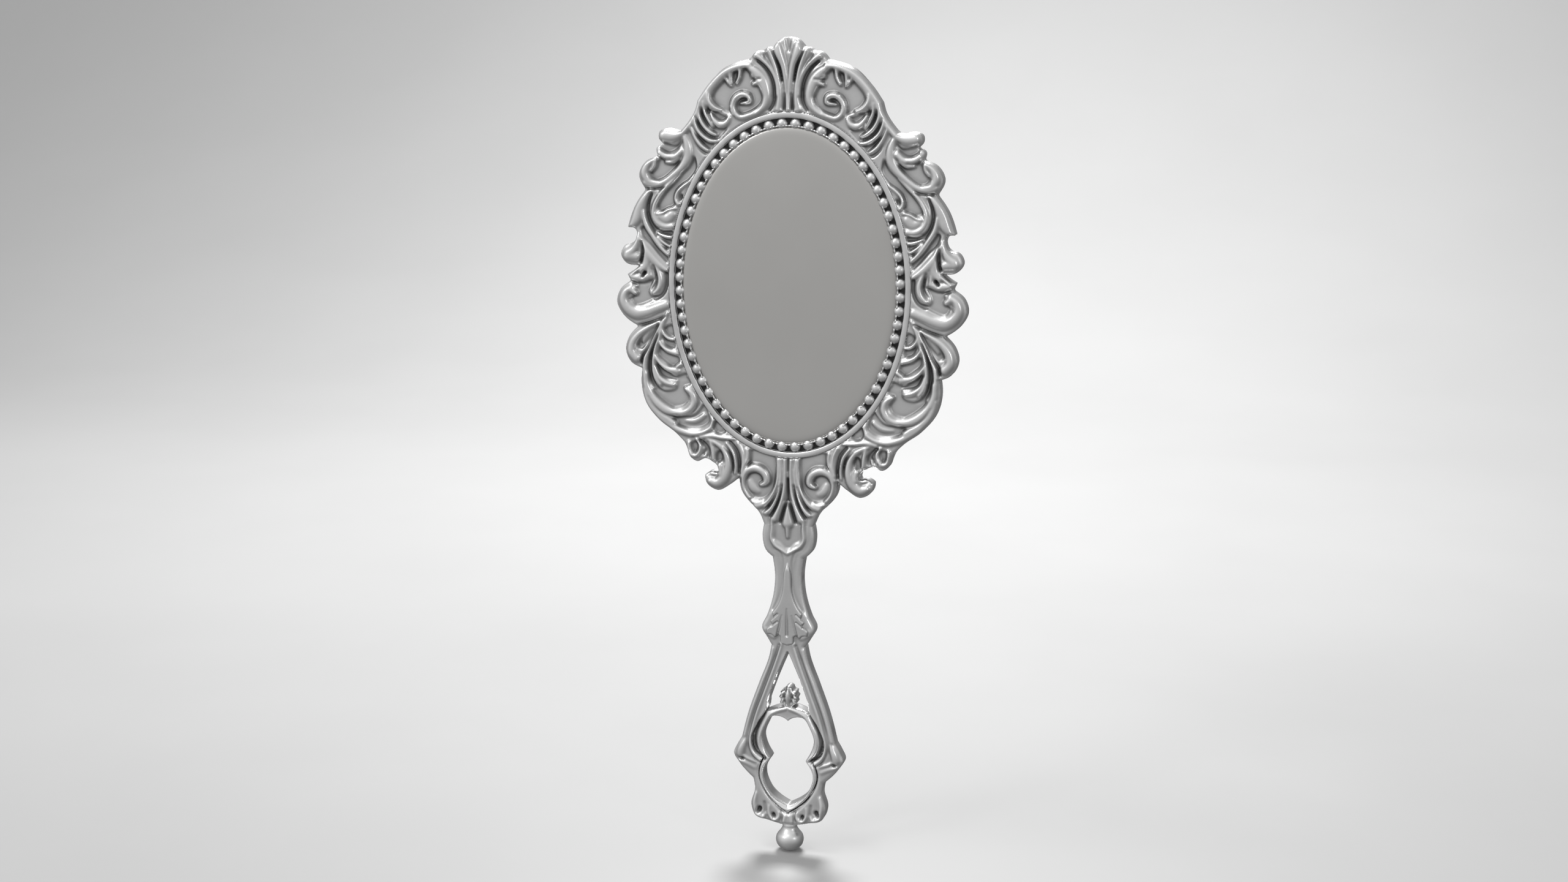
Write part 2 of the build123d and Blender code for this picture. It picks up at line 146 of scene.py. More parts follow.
# lines that part the castings, from the bezel to outside the head
CREST_PART = [(5.2, 240), (5.3, 247), (4.5, 253), (7, 260), (11.8, 264.6), (13, 276)]
HORN_PART = [(26, 222), (30.6, 231.5), (31.4, 236.4), (35.3, 240.6), (38, 256)]
SIDE_PART = [(36, 194), (41, 199), (46, 205.6), (50.7, 207.2), (66, 205)]
LOWER_PART = [(36, 182.6), (43, 180), (50.7, 176.8), (66, 173)]
HOOK_PART = [(18, 149), (24.4, 142.5), (28, 140), (35.2, 138.8), (54, 134)]
VOLUTE_PART = [(17.2, 145), (17, 137), (16.3, 133), (16.6, 128), (18, 108)]
SHELL_PART = [(3.9, 142), (3.8, 130), (5.5, 123), (8.6, 119.4), (16, 108)]
CENTRE_TOP = [(-2, 240), (-2, 276)]
CENTRE_FOOT = [(-2, 142), (-2, 108)]

# Strokes of the border. A field is (height, closed outline): flat metal sunk between the scrolls.
# A ridge is (points, half widths, heights) and a groove is (points, half widths, depths); each
# list of widths, heights or depths is spread evenly along its points.
CREST = {
    "fields": [],
    "ridges": [
        ([(0.5, 249), (0.7, 256), (1.5, 261), (3, 265), (3.5, 267)], [0.7, 1, 1.5, 2, 1.9], [1.5, 1.9,
         2.2, 2.6, 2.5]),
        ([(6.3, 266.4), (4.5, 262.4), (3.2, 257.5), (2.7, 252.5), (3.2, 247.5)], [1.1, 1.3, 1, 1.1, 1.4],
         [2.5, 2.3, 2.1, 2, 1.8]),
        ([(10.4, 264.5), (8, 262.7), (5.7, 259.8), (4.1, 256), (3.5, 252)], [1.4, 1.2, 1, 0.8, 0.7], [2.5,
         2.3, 2.1, 2, 1.9]),
        ([(0.3, 247.2), (0.2, 253.8)], [0.7, 0.3], [2, 1.6]),
        ([(2.5, 247), (3.6, 247.6)], [1.2], [1.7]),
    ],
    "grooves": [
        ([(5, 265.6), (2.9, 261), (1.95, 256.2)], [0.3, 0.55, 0.4], [1, 1.7, 1]),
        ([(0, 269.4), (0, 266)], [1.5, 0.9], [1.6, 0.8]),
        ([(9.9, 262.7), (7.2, 260.4), (5.2, 257), (4.5, 253), (4.9, 249.5), (6.3, 247.1)], [0.5, 0.75,
         0.8, 0.7, 0.6, 0.5], [1.6, 2, 2, 2, 1.8, 1.4]),
        ([(1.3, 247.4), (1.1, 252.4)], [0.5, 0.3], [1.4, 0.8]),
        ([(7.8, 265), (7, 262.6)], [0.35, 0.2], [1, 0.4]),
    ],
}
UPPER = {
    "fields": [
        (0.25, [(9.4, 247.6), (8.2, 252), (8.6, 256), (11, 259.6), (16, 260.6), (22, 258.2), (25.4, 254),
         (25, 250.5), (21, 246.6), (17, 245.4), (12, 245.8)]),
        (0.35, [(18.6, 244.6), (22, 246), (26.4, 248.4), (29.4, 245), (31, 240), (30.6, 236), (27, 232.6),
         (23, 237.4), (19.6, 241.6)]),
    ],
    "ridges": [
        ([(13.5, 261), (10.4, 259), (8.7, 256.8), (7.4, 254), (6.9, 251.5), (7.6, 249), (9.6, 247),
         (12.2, 245.7), (14.6, 245.1)], [1, 1.9, 2.3, 2, 1.7, 1.6, 1.4, 1.2, 1], [2.1, 2.3, 2.3, 2.3, 2.2,
         2.1, 2.1, 2, 2.1]),
        ([(9.6, 258.6), (11.6, 258.1)], [1.3, 0.9], [2.2, 1.9]),
        ([(9, 256), (11.3, 255.4)], [1.2, 0.8], [2.1, 1.8]),
        ([(12.4, 261.2), (16, 260.8), (20, 259.2), (23.6, 256.4), (26.4, 253), (27, 250.4), (25.6, 248.3),
         (22.8, 247.1)], [1.1, 1.3, 1.7, 2, 2.2, 2, 1.3, 0.8], [2.2, 2.2, 2.2, 2.1, 2.1, 2.1, 2, 1.8]),
        ([(24, 257.4), (28.4, 251.4), (30, 247), (32, 243), (35, 240)], [1.6, 2.2, 1.9, 1.7, 1.6], [2.1,
         2.1, 2.1, 2.1, 2.1]),
        ([(26.2, 252.4), (25.8, 250), (24.2, 248.1), (22, 247.1)], [1, 1, 0.9, 0.7], [2.3, 2.5, 2.4, 2]),
        ([(15.6, 259.8), (16, 257), (16.8, 255.5)], [0.9, 0.75, 0.65], [2, 1.9, 1.7]),
        ([(18.6, 259.5), (18.9, 256.8), (18.7, 254.9)], [0.9, 0.75, 0.7], [2, 1.9, 1.7]),
        ([(20.6, 258.8), (20.2, 256.6), (19.4, 255.2)], [0.7, 0.55, 0.5], [2, 1.8, 1.5]),
        ([(12.8, 245.5), (15.4, 244.9), (17.4, 246.3), (18, 248.8), (17, 251), (14.8, 252.1),
         (12.8, 251.4), (12.5, 249.9), (14.2, 249.4), (15.6, 249.2)], [1, 1.1, 1.2, 1.2, 1.2, 1.15, 1.1,
         0.9, 0.8, 0.5], [2.1, 2.1, 2.1, 2.2, 2.3, 2.4, 2.3, 2.1, 1.8, 1.4]),
        ([(19.2, 244.8), (20.4, 243), (22.2, 242.5), (24.3, 244), (25.4, 246)], [0.8, 1.3, 1.4, 1.1, 0.6],
         [1.9, 2.1, 2.1, 2, 1.6]),
        ([(27.6, 249.6), (27.4, 246.8), (26.2, 244.2), (24.8, 241.8)], [0.9, 0.8, 0.75, 0.6], [2.2, 2.1,
         2, 1.6]),
        ([(29.6, 247.8), (29, 244.5), (27.3, 241.7), (24.9, 239.8), (23.7, 239.3)], [1, 0.9, 0.9, 0.85,
         0.6], [2.2, 2.1, 2, 2, 1.7]),
        ([(30.8, 244.8), (29.8, 241), (27.6, 238.6), (25, 237.3), (23.2, 237.3)], [1, 0.9, 0.9, 0.9, 0.6],
         [2.2, 2.1, 2.1, 2.1, 1.8]),
        ([(32, 242.6), (30.6, 238.8), (28.8, 236), (26.4, 234.3)], [1.1, 1, 1, 0.8], [2.2, 2.1, 2, 1.8]),
    ],
    "grooves": [
        ([(8.8, 257), (12.2, 256.7)], [0.3], [0.9]),
        ([(12.6, 260), (14.6, 260.2)], [0.3], [0.4]),
        ([(17.6, 258.8), (17.9, 255.6)], [0.3], [1.2]),
        ([(10.8, 246.5), (8.9, 248.8), (8.5, 251.6)], [0.25], [0.5]),
        ([(26.2, 248.2), (25.9, 245.8), (25, 243.4)], [0.3], [0.9]),
        ([(28.4, 247.6), (27.8, 244.6), (26.2, 242)], [0.35], [1]),
        ([(30.4, 245), (29.2, 242), (26.8, 239.8)], [0.3], [0.9]),
        ([(31.4, 242), (29.8, 238.8), (27.4, 236.6)], [0.3], [0.9]),
    ],
}
HORN = {
    "fields": [
        (0.25, [(35.4, 231), (38, 230.6), (42.4, 231.6), (44.4, 229.6), (46, 226.6), (44.6, 224.6),
         (41, 224.6), (37.4, 226.8), (35.2, 229)]),
        (0.2, [(34.4, 238), (36.6, 236.2), (42.4, 236.2), (42.2, 234.4), (39.6, 233.2), (37.4, 233.8),
         (35.8, 235.2)]),
        (0.2, [(31, 232.6), (33, 229), (36.6, 226.4), (40, 223), (43.4, 218.6), (43.8, 215.4),
         (41, 214.6), (37.6, 216.6), (34.4, 222.6), (30, 229.4)]),
        (0.2, [(46.6, 210.4), (49.4, 209), (48.8, 206.6), (45.6, 203), (42.4, 199.4), (40.2, 197.6),
         (39.8, 200), (43, 203.4), (45.4, 207)]),
        (0.3, [(38.2, 208.4), (42, 208.4), (45.2, 210.6), (46.4, 214.4), (46.8, 211), (44.6, 206.6),
         (40.8, 201.4), (39, 203.4)]),
    ],
    "ridges": [
        ([(32.6, 242.4), (35.8, 239.2), (38.8, 238.5), (40.8, 238.8)], [1.5, 1.7, 2.2, 2.2], [2.1, 2.2,
         2.4, 2.5]),
        ([(35.2, 233.9), (37.6, 232.1), (40.2, 232.1), (42.4, 233.3)], [1.4, 1.4, 1.5, 1.4], [2.1, 2.2,
         2.3, 2.3]),
        ([(34, 238.4), (33, 235), (33.2, 232), (34.8, 229.2), (37.8, 226.4), (41.4, 223.8), (45, 223),
         (47.2, 223.8)], [1.2, 1.8, 2, 1.7, 1.4, 1.4, 1.5, 1.5], [2, 2.2, 2.2, 2.2, 2.1, 2, 2, 2.1]),
        ([(44.4, 231.2), (46.8, 229.2), (47.6, 226.6), (46.4, 224.3), (43.4, 223.5)], [1.1, 1.7, 1.7, 1.5,
         1.2], [2.2, 2.3, 2.4, 2.2, 2]),
        ([(43.9, 230.9), (44.4, 229), (45.6, 227.4)], [0.7, 0.8, 0.6], [2.1, 2.1, 1.8]),
        ([(36.2, 231.8), (38.3, 230.4), (40.6, 230.3)], [0.9, 0.8, 0.5], [1.9, 1.8, 1.4]),
        ([(32.6, 224.2), (34.8, 222.7), (36.7, 220.6), (37.1, 218.2), (36, 216.9), (35, 217.6)], [0.7,
         0.8, 0.8, 0.8, 0.8, 0.5], [1.7, 1.9, 2.1, 2.1, 2, 1.6]),
        ([(35.8, 226.6), (38.6, 224), (41, 221.6), (43.2, 218.8), (44.5, 216), (44.6, 213.2),
         (43.2, 210.8), (41, 209.7), (38.6, 209.8)], [0.6, 0.9, 0.95, 1, 1, 1.1, 1.3, 1.4, 1.3], [1.7, 2,
         2.1, 2.1, 2.2, 2.2, 2.2, 2.1, 2]),
        ([(38.6, 213.6), (40.6, 212), (42.6, 212.8)], [1.9, 2.3, 1.7], [1.9, 1.9, 1.9]),
        ([(37.4, 215.6), (39.6, 215.2), (41.8, 214), (43.4, 213.8)], [0.6], [2.1, 2, 2.1, 2.1]),
        ([(45.6, 221.2), (48, 218.4), (49.6, 215), (50.8, 211.6), (52.4, 209.6)], [1.3, 1.7, 2.2, 2.1,
         1.1], [2, 2.2, 2.2, 2.2, 1.9]),
        ([(48.2, 214.4), (47.4, 210.6), (45, 206.6), (42.4, 203), (40, 200.6)], [0.9, 1.2, 1.1, 1, 0.8],
         [2.1, 2.1, 2.1, 2, 1.9]),
        ([(38.6, 206.2), (41, 206.5), (43.4, 207.6)], [0.7, 0.8, 0.6], [1.8, 1.8, 1.6]),
        ([(39.2, 203.2), (41.4, 204.4), (43.2, 206.2)], [0.5, 0.7, 0.5], [1.8, 1.8, 1.6]),
    ],
    "grooves": [
        ([(47.4, 221.7), (43.8, 221.8), (41, 222.4)], [0.45, 0.4, 0.3], [1.5, 1.2, 0.6]),
        ([(45.4, 220.4), (46.6, 217), (46.7, 213.4), (45.2, 210), (42.4, 207.9), (38.8, 207.7)], [0.5,
         0.6, 0.6, 0.6, 0.5, 0.4], [1.4, 1.8, 1.9, 1.9, 1.6, 1.2]),
        ([(43.6, 232.2), (41, 231.2), (38.6, 231.2)], [0.3], [0.9]),
        ([(35.3, 219.6), (35.7, 218.6)], [0.6], [1.4]),
    ],
}
SIDE = {
    "fields": [
        (0.25, [(45, 192.2), (50.4, 191), (51.6, 188), (52.8, 185.6), (51.6, 183.8), (47.6, 184.4),
         (45.2, 186), (46.4, 188)]),
        (0.3, [(40.2, 196), (41.2, 194.6), (41.2, 190), (43, 187.6), (46, 187), (45.4, 185.4),
         (42.4, 186.4), (40, 190)]),
    ],
    "ridges": [
        ([(50.2, 206.6), (48.4, 203.4), (46.2, 200), (43.6, 197.6), (40.6, 195.6)], [0.9, 1.3, 2, 1.7,
         1.1], [2, 2.1, 2.2, 2.1, 1.9]),
        ([(47.6, 201), (47.4, 197.4), (49, 195.4)], [1.5, 2, 1.5], [2.1, 2.1, 2.2]),
        ([(50.6, 206), (51.2, 202.8), (53.4, 200.5)], [1, 1.5, 2.2], [2.1, 2.2, 2.4]),
        ([(50.8, 199.7), (53.6, 200)], [1.9, 2.1], [2.2, 2.4]),
        ([(46.4, 193.6), (49, 192.9), (52.4, 193.1)], [1.3, 1.7, 1.1], [1.9, 2.1, 2.1]),
        ([(49.4, 196.8), (51.4, 194.8), (53, 193.6)], [1, 0.9, 0.6], [2.2, 2.3, 2.1]),
        ([(41, 184.2), (44.4, 182.9), (47.8, 181.6), (51.2, 181.2), (54, 182.9), (55.3, 185.5),
         (54.6, 188), (52.6, 189.5)], [1.9, 2, 2.2, 2.4, 2.2, 1.9, 1.6, 1.2], [1.9, 2.1, 2.2, 2.3, 2.4,
         2.4, 2.3, 2.1]),
        ([(52.8, 188.9), (51.4, 187.9)], [1.4, 1.1], [2.2, 2]),
        ([(45.2, 197.2), (43.3, 195), (42.6, 192), (43.2, 189.6), (44.9, 187.9)], [1.2, 1.2, 1.3, 1.2,
         0.9], [2, 2.1, 2.2, 2.2, 2]),
        ([(46.6, 196.4), (46.4, 193.6)], [1.1], [1.9]),
    ],
    "grooves": [
        ([(49, 204.6), (48.6, 201.2), (49.5, 197.9)], [0.4, 0.7, 0.5], [1.6, 2.1, 1.6]),
        ([(45, 197), (44.2, 194.6), (44.2, 191.4), (45.6, 189.2)], [0.4, 0.45, 0.45, 0.3], [1.2, 1.5, 1.4,
         0.8]),
        ([(53.2, 191.7), (50, 190.8), (47, 191.2), (45, 192.4)], [0.4, 0.5, 0.5, 0.4], [1.4, 1.6, 1.6,
         1]),
        ([(48, 194.7), (48.8, 193.4)], [0.6], [1.8]),
        ([(40.9, 194.6), (40.9, 190.6), (42.6, 187.4), (45.4, 186.3)], [0.5], [1.4]),
        ([(52, 186.4), (53.6, 185.2)], [0.5, 0.3], [0.8, 0.4]),
    ],
}
LOWER = {
    "fields": [
        (0.25, [(33.6, 160.6), (37.4, 160.2), (38, 157), (42, 156), (45, 157), (45.8, 155), (43, 151.4),
         (38, 150.2), (34.2, 151.6), (33.2, 154), (34.8, 157), (32.4, 158.4)]),
        (0.2, [(26.6, 148.8), (26.2, 146.4), (28.2, 144.4), (31.6, 143.6), (35, 143.9), (39, 145.8),
         (39.2, 147.2), (35.4, 147.8), (32, 148.4), (29.6, 150.8), (28.4, 152.4)]),
        (0.3, [(45, 177.4), (48.4, 175.6), (51, 173.2), (51.4, 170.4), (49.6, 169.1), (47.6, 170.8),
         (45.8, 174)]),
        (0.2, [(37.4, 168), (40.4, 168.4), (43.4, 170.4), (44, 168.4), (41, 165), (38.6, 163.6),
         (36.2, 166)]),
        (0.2, [(38.6, 178), (41.6, 176.8), (42.2, 173), (40.6, 170.4), (38, 170), (37.8, 173)]),
        (0.2, [(34, 162), (38, 161), (43.6, 165.8), (44.6, 163.4), (42.6, 160.8), (38.6, 159.6),
         (34, 160)]),
    ],
    "ridges": [
        ([(43.6, 178.6), (47.4, 176.4), (50.6, 174), (52.6, 171), (52.8, 168.4), (51.2, 166.4)], [0.9,
         1.3, 1.5, 1.7, 1.8, 1.9], [1.9, 2.1, 2.2, 2.3, 2.4, 2.3]),
        ([(46.4, 176), (48.2, 173.2), (49, 171.8)], [1.3, 1.2, 0.8], [1.4, 1.1, 0.8]),
        ([(40.4, 181.8), (42.6, 178), (44.4, 174.5), (46.4, 170.5), (48, 166.6), (48.4, 163),
         (48, 159.5)], [0.6, 0.7, 0.8, 0.9, 1, 1.1, 1.3], [1.8, 2, 2.1, 2.2, 2.2, 2.2, 2.2]),
        ([(47.9, 161.5), (47.9, 158), (46.7, 154.6), (44.4, 151.6), (41.4, 149.6), (38, 148.8),
         (34.9, 149.1), (32.6, 150.6), (31.6, 153), (32.4, 155.6), (34.4, 156.9)], [1.2, 1.4, 1.8, 2.2,
         2.1, 1.6, 1.5, 1.5, 1.5, 1.3, 0.8], [2.2, 2.2, 2.2, 2.3, 2.3, 2.3, 2.3, 2.3, 2.2, 2.2, 2]),
        ([(48.2, 156), (46.5, 151.4), (43, 147.8), (39, 145.2)], [1.2, 2, 2.1, 1.6], [2, 2.1, 2.1, 2.1]),
        ([(43.2, 173.8), (44.6, 170), (45.2, 166.5), (45.2, 163), (44.5, 160), (43, 157.9)], [0.6, 0.7,
         0.8, 0.9, 1, 0.9], [2, 2.1, 2.2, 2.2, 2.2, 2.1]),
        ([(44.8, 163.6), (43.6, 160.6), (41.4, 158.8), (38.7, 158)], [0.9, 1.1, 1.2, 0.9], [2, 2.1, 2.2,
         2]),
        ([(45, 167.8), (43, 165), (40.4, 163.2), (37.2, 162.6)], [0.7, 0.9, 1.2, 1.5], [2.1, 2.1, 2.1,
         2]),
        ([(35.6, 165.2), (37.2, 164)], [1, 0.9], [2.1]),
        ([(43.6, 172.8), (42, 170.4), (39.6, 169), (37.4, 168.4)], [0.6, 0.8, 1, 1.1], [2.1, 2.1, 2.1,
         1.9]),
        ([(42.4, 177), (41.6, 174.6), (39.8, 173.2), (38.2, 173)], [0.6, 0.8, 0.8, 0.7], [2, 2, 1.9,
         1.8]),
        ([(40.2, 181.8), (41.7, 178.4), (42.8, 175.4), (43.4, 172.6)], [0.5, 0.6, 0.7, 0.7], [1.9, 2, 2.1,
         2.1]),
        ([(28.4, 148.2), (31, 146.4), (34.6, 146)], [0.9, 1, 0.6], [0.9, 0.9, 0.5]),
        ([(25, 147.6), (25.8, 144.6), (28.4, 142.8), (32, 142), (36, 142.8), (40, 144.9), (43.6, 147.6)],
         [0.8, 1, 1.1, 1.2, 1.4, 1.5, 1.5], [1.9, 2, 2.1, 2.2, 2.2, 2.1, 2.1]),
    ],
    "grooves": [
        ([(41.2, 180.4), (44.6, 178.9), (48.6, 177.6), (50.4, 177.2)], [0.4, 0.5, 0.5, 0.4], [1.2, 1.4,
         1.3, 1]),
        ([(43.4, 178), (45.6, 173.6), (47.6, 169.4), (49.3, 166.6), (49.6, 164.4)], [0.3, 0.45, 0.55, 0.6,
         0.4], [1, 1.6, 1.9, 1.8, 1.2]),
        ([(43.8, 174.6), (45.6, 170), (46.6, 166), (46.6, 162), (45.6, 158.6), (44, 156.4),
         (42.2, 155.6)], [0.3, 0.45, 0.6, 0.75, 0.8, 0.7, 0.5], [1, 1.8, 2.1, 2.2, 2.1, 1.8, 1]),
        ([(30.2, 154.8), (30, 151.8), (32, 149)], [0.3], [0.8]),
        ([(49.6, 171.2), (50.4, 170)], [0.7], [0.5]),
        ([(37, 148), (41, 147.9), (44.6, 150.4), (47, 154)], [0.3, 0.35, 0.35, 0.25], [0.7, 0.6, 0.5,
         0.3]),
    ],
}
HOOK = {
    "fields": [
        (0.1, [(20.4, 143.4), (24.4, 147), (25.4, 144.4), (24.6, 142.8), (21.6, 142.4)]),
        (0.25, [(21.8, 136.9), (23.2, 137.1), (24.5, 134.6), (24.2, 132.2), (22.6, 132.8),
         (21.7, 134.8)]),
        (0.4, [(30.4, 139.4), (32.6, 139.4), (33, 136), (31.6, 135.2), (30.6, 136.4)]),
    ],
    "ridges": [
        ([(18.4, 141), (22, 141.2), (25.5, 141.6), (29.4, 141)], [0.7, 0.9, 1.1, 1], [2, 2.1, 2.1, 2]),
        ([(30.8, 140.4), (29.6, 138.4), (29.9, 136), (31.2, 134.8), (32.7, 135.2), (33.4, 137.2),
         (33.4, 139.2)], [0.75, 0.75, 0.8, 1, 1, 0.8, 0.8], [2, 2.1, 2.2, 2.2, 2.2, 2.2, 2.1]),
        ([(27, 140.4), (24.4, 139.4), (21.6, 137.4), (20.3, 134), (20.4, 130.4), (21.8, 127.6),
         (24.2, 126), (26.2, 126.6)], [0.8, 1.1, 1.4, 1.5, 1.9, 2.2, 1.9, 1.4], [2, 2.1, 2.2, 2.3, 2.4,
         2.4, 2.4, 2.3]),
        ([(26, 139.8), (25.3, 136.6), (25, 133.8)], [0.9, 1, 0.8], [2.1, 2.1, 2]),
        ([(22.8, 131.8), (22.4, 129)], [1.4, 1.6], [2.2, 2.3]),
        ([(20.6, 139.4), (18.4, 136.4), (17.6, 132.6), (17.8, 129.4)], [0.5, 0.6, 0.6, 0.6], [1.9, 2, 2,
         1.9]),
    ],
    "grooves": [
        ([(29.7, 139.9), (27.8, 138.3), (26.9, 136), (27.2, 134.4)], [0.5, 0.75, 0.8, 0.6], [1.6, 2.1,
         2.1, 1.6]),
        ([(19.6, 140), (17.3, 137), (16.5, 133), (16.5, 129.4)], [0.4, 0.6, 0.6, 0.4], [1.2, 1.9, 1.9,
         1.4]),
        ([(21.6, 138.4), (19.3, 135.6), (18.6, 132), (18.9, 129.4)], [0.3, 0.45, 0.4, 0.3], [0.8, 1.3,
         1.1, 0.6]),
        ([(23.4, 128.6), (25.2, 128.1), (26.8, 128.8)], [0.25, 0.3, 0.3], [0.5, 0.8, 0.7]),
        ([(27.4, 137.2), (28.6, 135.2)], [0.6], [1]),
    ],
}
VOLUTE = {
    "fields": [
        (0.25, [(4.3, 136.6), (12.4, 137.6), (13.2, 134), (14.6, 130), (14.4, 124.6), (12, 121.6),
         (8, 121.4), (5, 124.4), (3.9, 130)]),
    ],
    "ridges": [
        ([(12.6, 121.4), (14.6, 124.4), (15, 127.8), (13.9, 130.4), (11.5, 131.6), (8.9, 131),
         (7.4, 129.2), (7.3, 127.2), (8.9, 126.2)], [0.9, 0.8, 0.9, 1.3, 1.6, 1.6, 1.5, 1.3, 0.9], [1.9,
         1.9, 2.1, 2.2, 2.3, 2.4, 2.3, 2.2, 2]),
        ([(13.8, 137.6), (13.6, 134.4), (14.9, 131.2), (15.8, 128.6)], [0.9, 0.8, 0.8, 0.6], [1.8, 1.9, 2,
         2]),
        ([(16.6, 139.6), (15.2, 136.6), (14.9, 133.4), (15.6, 130.2)], [0.8, 0.8, 0.8, 0.7], [1.9, 2, 2.1,
         2]),
        ([(13, 126.6), (12, 124.8), (10.2, 123.6)], [1.4, 1.6, 1], [0.7, 0.9, 0.6]),
        ([(8.7, 120.6), (10.6, 120), (11.8, 120.4)], [0.8, 1, 0.8], [1.9, 2.1, 2]),
    ],
    "grooves": [
        ([(12.6, 137.4), (12.2, 134.4), (13.6, 132.4)], [0.5], [0.7]),
        ([(11.8, 121.6), (13.2, 120.8)], [0.3], [0.8]),
    ],
}
SHELL = {
    "fields": [],
    "ridges": [
        ([(0, 121), (0, 117), (0, 113.8)], [0.5, 1.4, 2.4], [2, 2.3, 2.5]),
        ([(1.2, 136), (1, 129), (1.5, 123.5), (3, 118.5), (4.4, 115.2)], [1, 0.7, 0.9, 1.2, 1.6], [1.9,
         2.1, 2.2, 2.4, 2.5]),
        ([(2.7, 136), (2.4, 128), (4.1, 121.5), (6.2, 117.8), (7.3, 117)], [0.9, 0.7, 0.9, 1.1, 1.3],
         [1.8, 2, 2.2, 2.3, 2.3]),
        ([(3.5, 135), (3.5, 128), (5.4, 122.8), (8, 119.8), (10.6, 119)], [0.5, 0.6, 0.8, 1.1, 1.5], [1.9,
         2, 2.1, 2.2, 2.2]),
    ],
    "grooves": [
        ([(0, 128.6), (0, 121.2)], [0.35, 0.45], [1.2, 1.7]),
        ([(0.1, 121.4), (1.1, 118.8), (2.7, 113.8)], [0.4, 0.4, 0.4], [1.6, 1.5, 1.4]),
        ([(2.1, 126.6), (3.3, 120.6), (5.9, 115.6)], [0.25, 0.4, 0.35], [0.8, 1.5, 1.2]),
        ([(3, 126), (4.9, 121.2), (8.2, 117.3)], [0.25, 0.35, 0.3], [0.7, 1.2, 1]),
        ([(0.1, 136), (0.1, 131)], [0.3, 0.2], [0.9, 0.4]),
        ([(1.9, 136), (1.8, 132)], [0.3, 0.2], [0.9, 0.4]),
    ],
}
HANDLE = {
    "fields": [
        (1.25, [(-1, 105), (0.6, 105), (2.7, 106.8), (4.5, 108), (4.6, 111), (4.6, 120), (-1, 120)]),
        (1.35, [(6.2, 120), (6.3, 107.6), (5.4, 105.8), (2.7, 103.9), (1.9, 101), (2.1, 92), (3.4, 87),
         (6, 83), (12, 88), (12, 120)]),
        (1.35, [(3.1, 76.2), (2.3, 72), (4.6, 66.4), (8.6, 55.4), (12, 45.6), (13.7, 38.6), (13.2, 34.4),
         (9.5, 30.6), (10.2, 26), (7.2, 19.6), (0, 13.4), (20, 4), (30, 40), (12, 76), (7, 75.8),
         (4.6, 74.6)]),
    ],
    "ridges": [
        ([(5.3, 115.4), (5.3, 112), (5.3, 107.8), (3.9, 106), (1.7, 104.6), (0, 103.6)], [0.8], [2.3]),
        ([(0, 113.5), (0, 109.2)], [1.4, 0.8], [2.4, 2.1]),
        ([(2, 73), (4, 66.2), (8, 55.2), (10.6, 48), (12.2, 42.4), (12.9, 38.8), (12.5, 35.4), (10.9, 33),
         (8.6, 31.4)], [0.9], [2.2]),
        ([(5.2, 71), (5.9, 67.4), (9.1, 58.6), (13, 47.6), (15.1, 39.8)], [0.5], [1.85]),
        ([(7.2, 77.6), (8, 77)], [1.6], [1.9]),
        ([(14.6, 38.4), (16.2, 34.8), (16.4, 33.6)], [1.2, 1.8, 1.8], [1.6, 2.3, 2.2]),
        ([(11, 31), (13.6, 31.9), (15.6, 33)], [0.6, 0.7, 0.7], [1.7, 1.9, 2]),
        ([(11.6, 29), (14, 30.2), (16.6, 31)], [1.2, 1.2, 0.8], [1.6, 1.7, 1.7]),
        ([(11.2, 20), (11.4, 15), (10.4, 12.4), (8.6, 11.6), (7.6, 13.2)], [0.9, 1.2, 1.3, 1, 0.6], [1.8,
         2.1, 2.2, 2.1, 1.8]),
        ([(6.4, 16), (6.2, 12.6), (4.8, 11), (3.2, 12), (3, 14)], [0.5, 0.8, 0.9, 0.8, 0.5], [1.7, 2, 2.1,
         2, 1.7]),
        ([(0.6, 13), (1.4, 10.8)], [1, 1.2], [1.8, 2]),
    ],
    "grooves": [
        ([(2.7, 72.4), (4.8, 66.4), (8.8, 55.4), (11.6, 47.6), (13.3, 41), (13.8, 38), (13, 34.4),
         (11.2, 32), (9.2, 30.6)], [0.45], [0.8]),
        ([(6.1, 116), (6.1, 112), (6.1, 107.6), (4.9, 105.4), (2.6, 104), (1.7, 101.4), (1.5, 97),
         (2, 92), (3.2, 87.6), (5, 84.2)], [0.4], [0.55]),
        ([(9.4, 30.4), (10.2, 27.4), (9.5, 23.4), (7.4, 19.8), (4.8, 16.6), (2.4, 14.4), (0, 13.5)],
         [0.4], [0.8]),
        ([(9.8, 14.6), (10.3, 13.6)], [1, 0.9], [1.6]),
        ([(5, 13), (4.8, 12.3)], [0.7, 0.6], [1.3]),
        ([(15.2, 31.9), (16.4, 31.9)], [0.6], [1]),
        ([(8, 17), (7.6, 11.8)], [0.4, 0.3], [0.7]),
        ([(2.4, 14.4), (2.2, 10.6)], [0.4, 0.3], [0.7]),
    ],
}
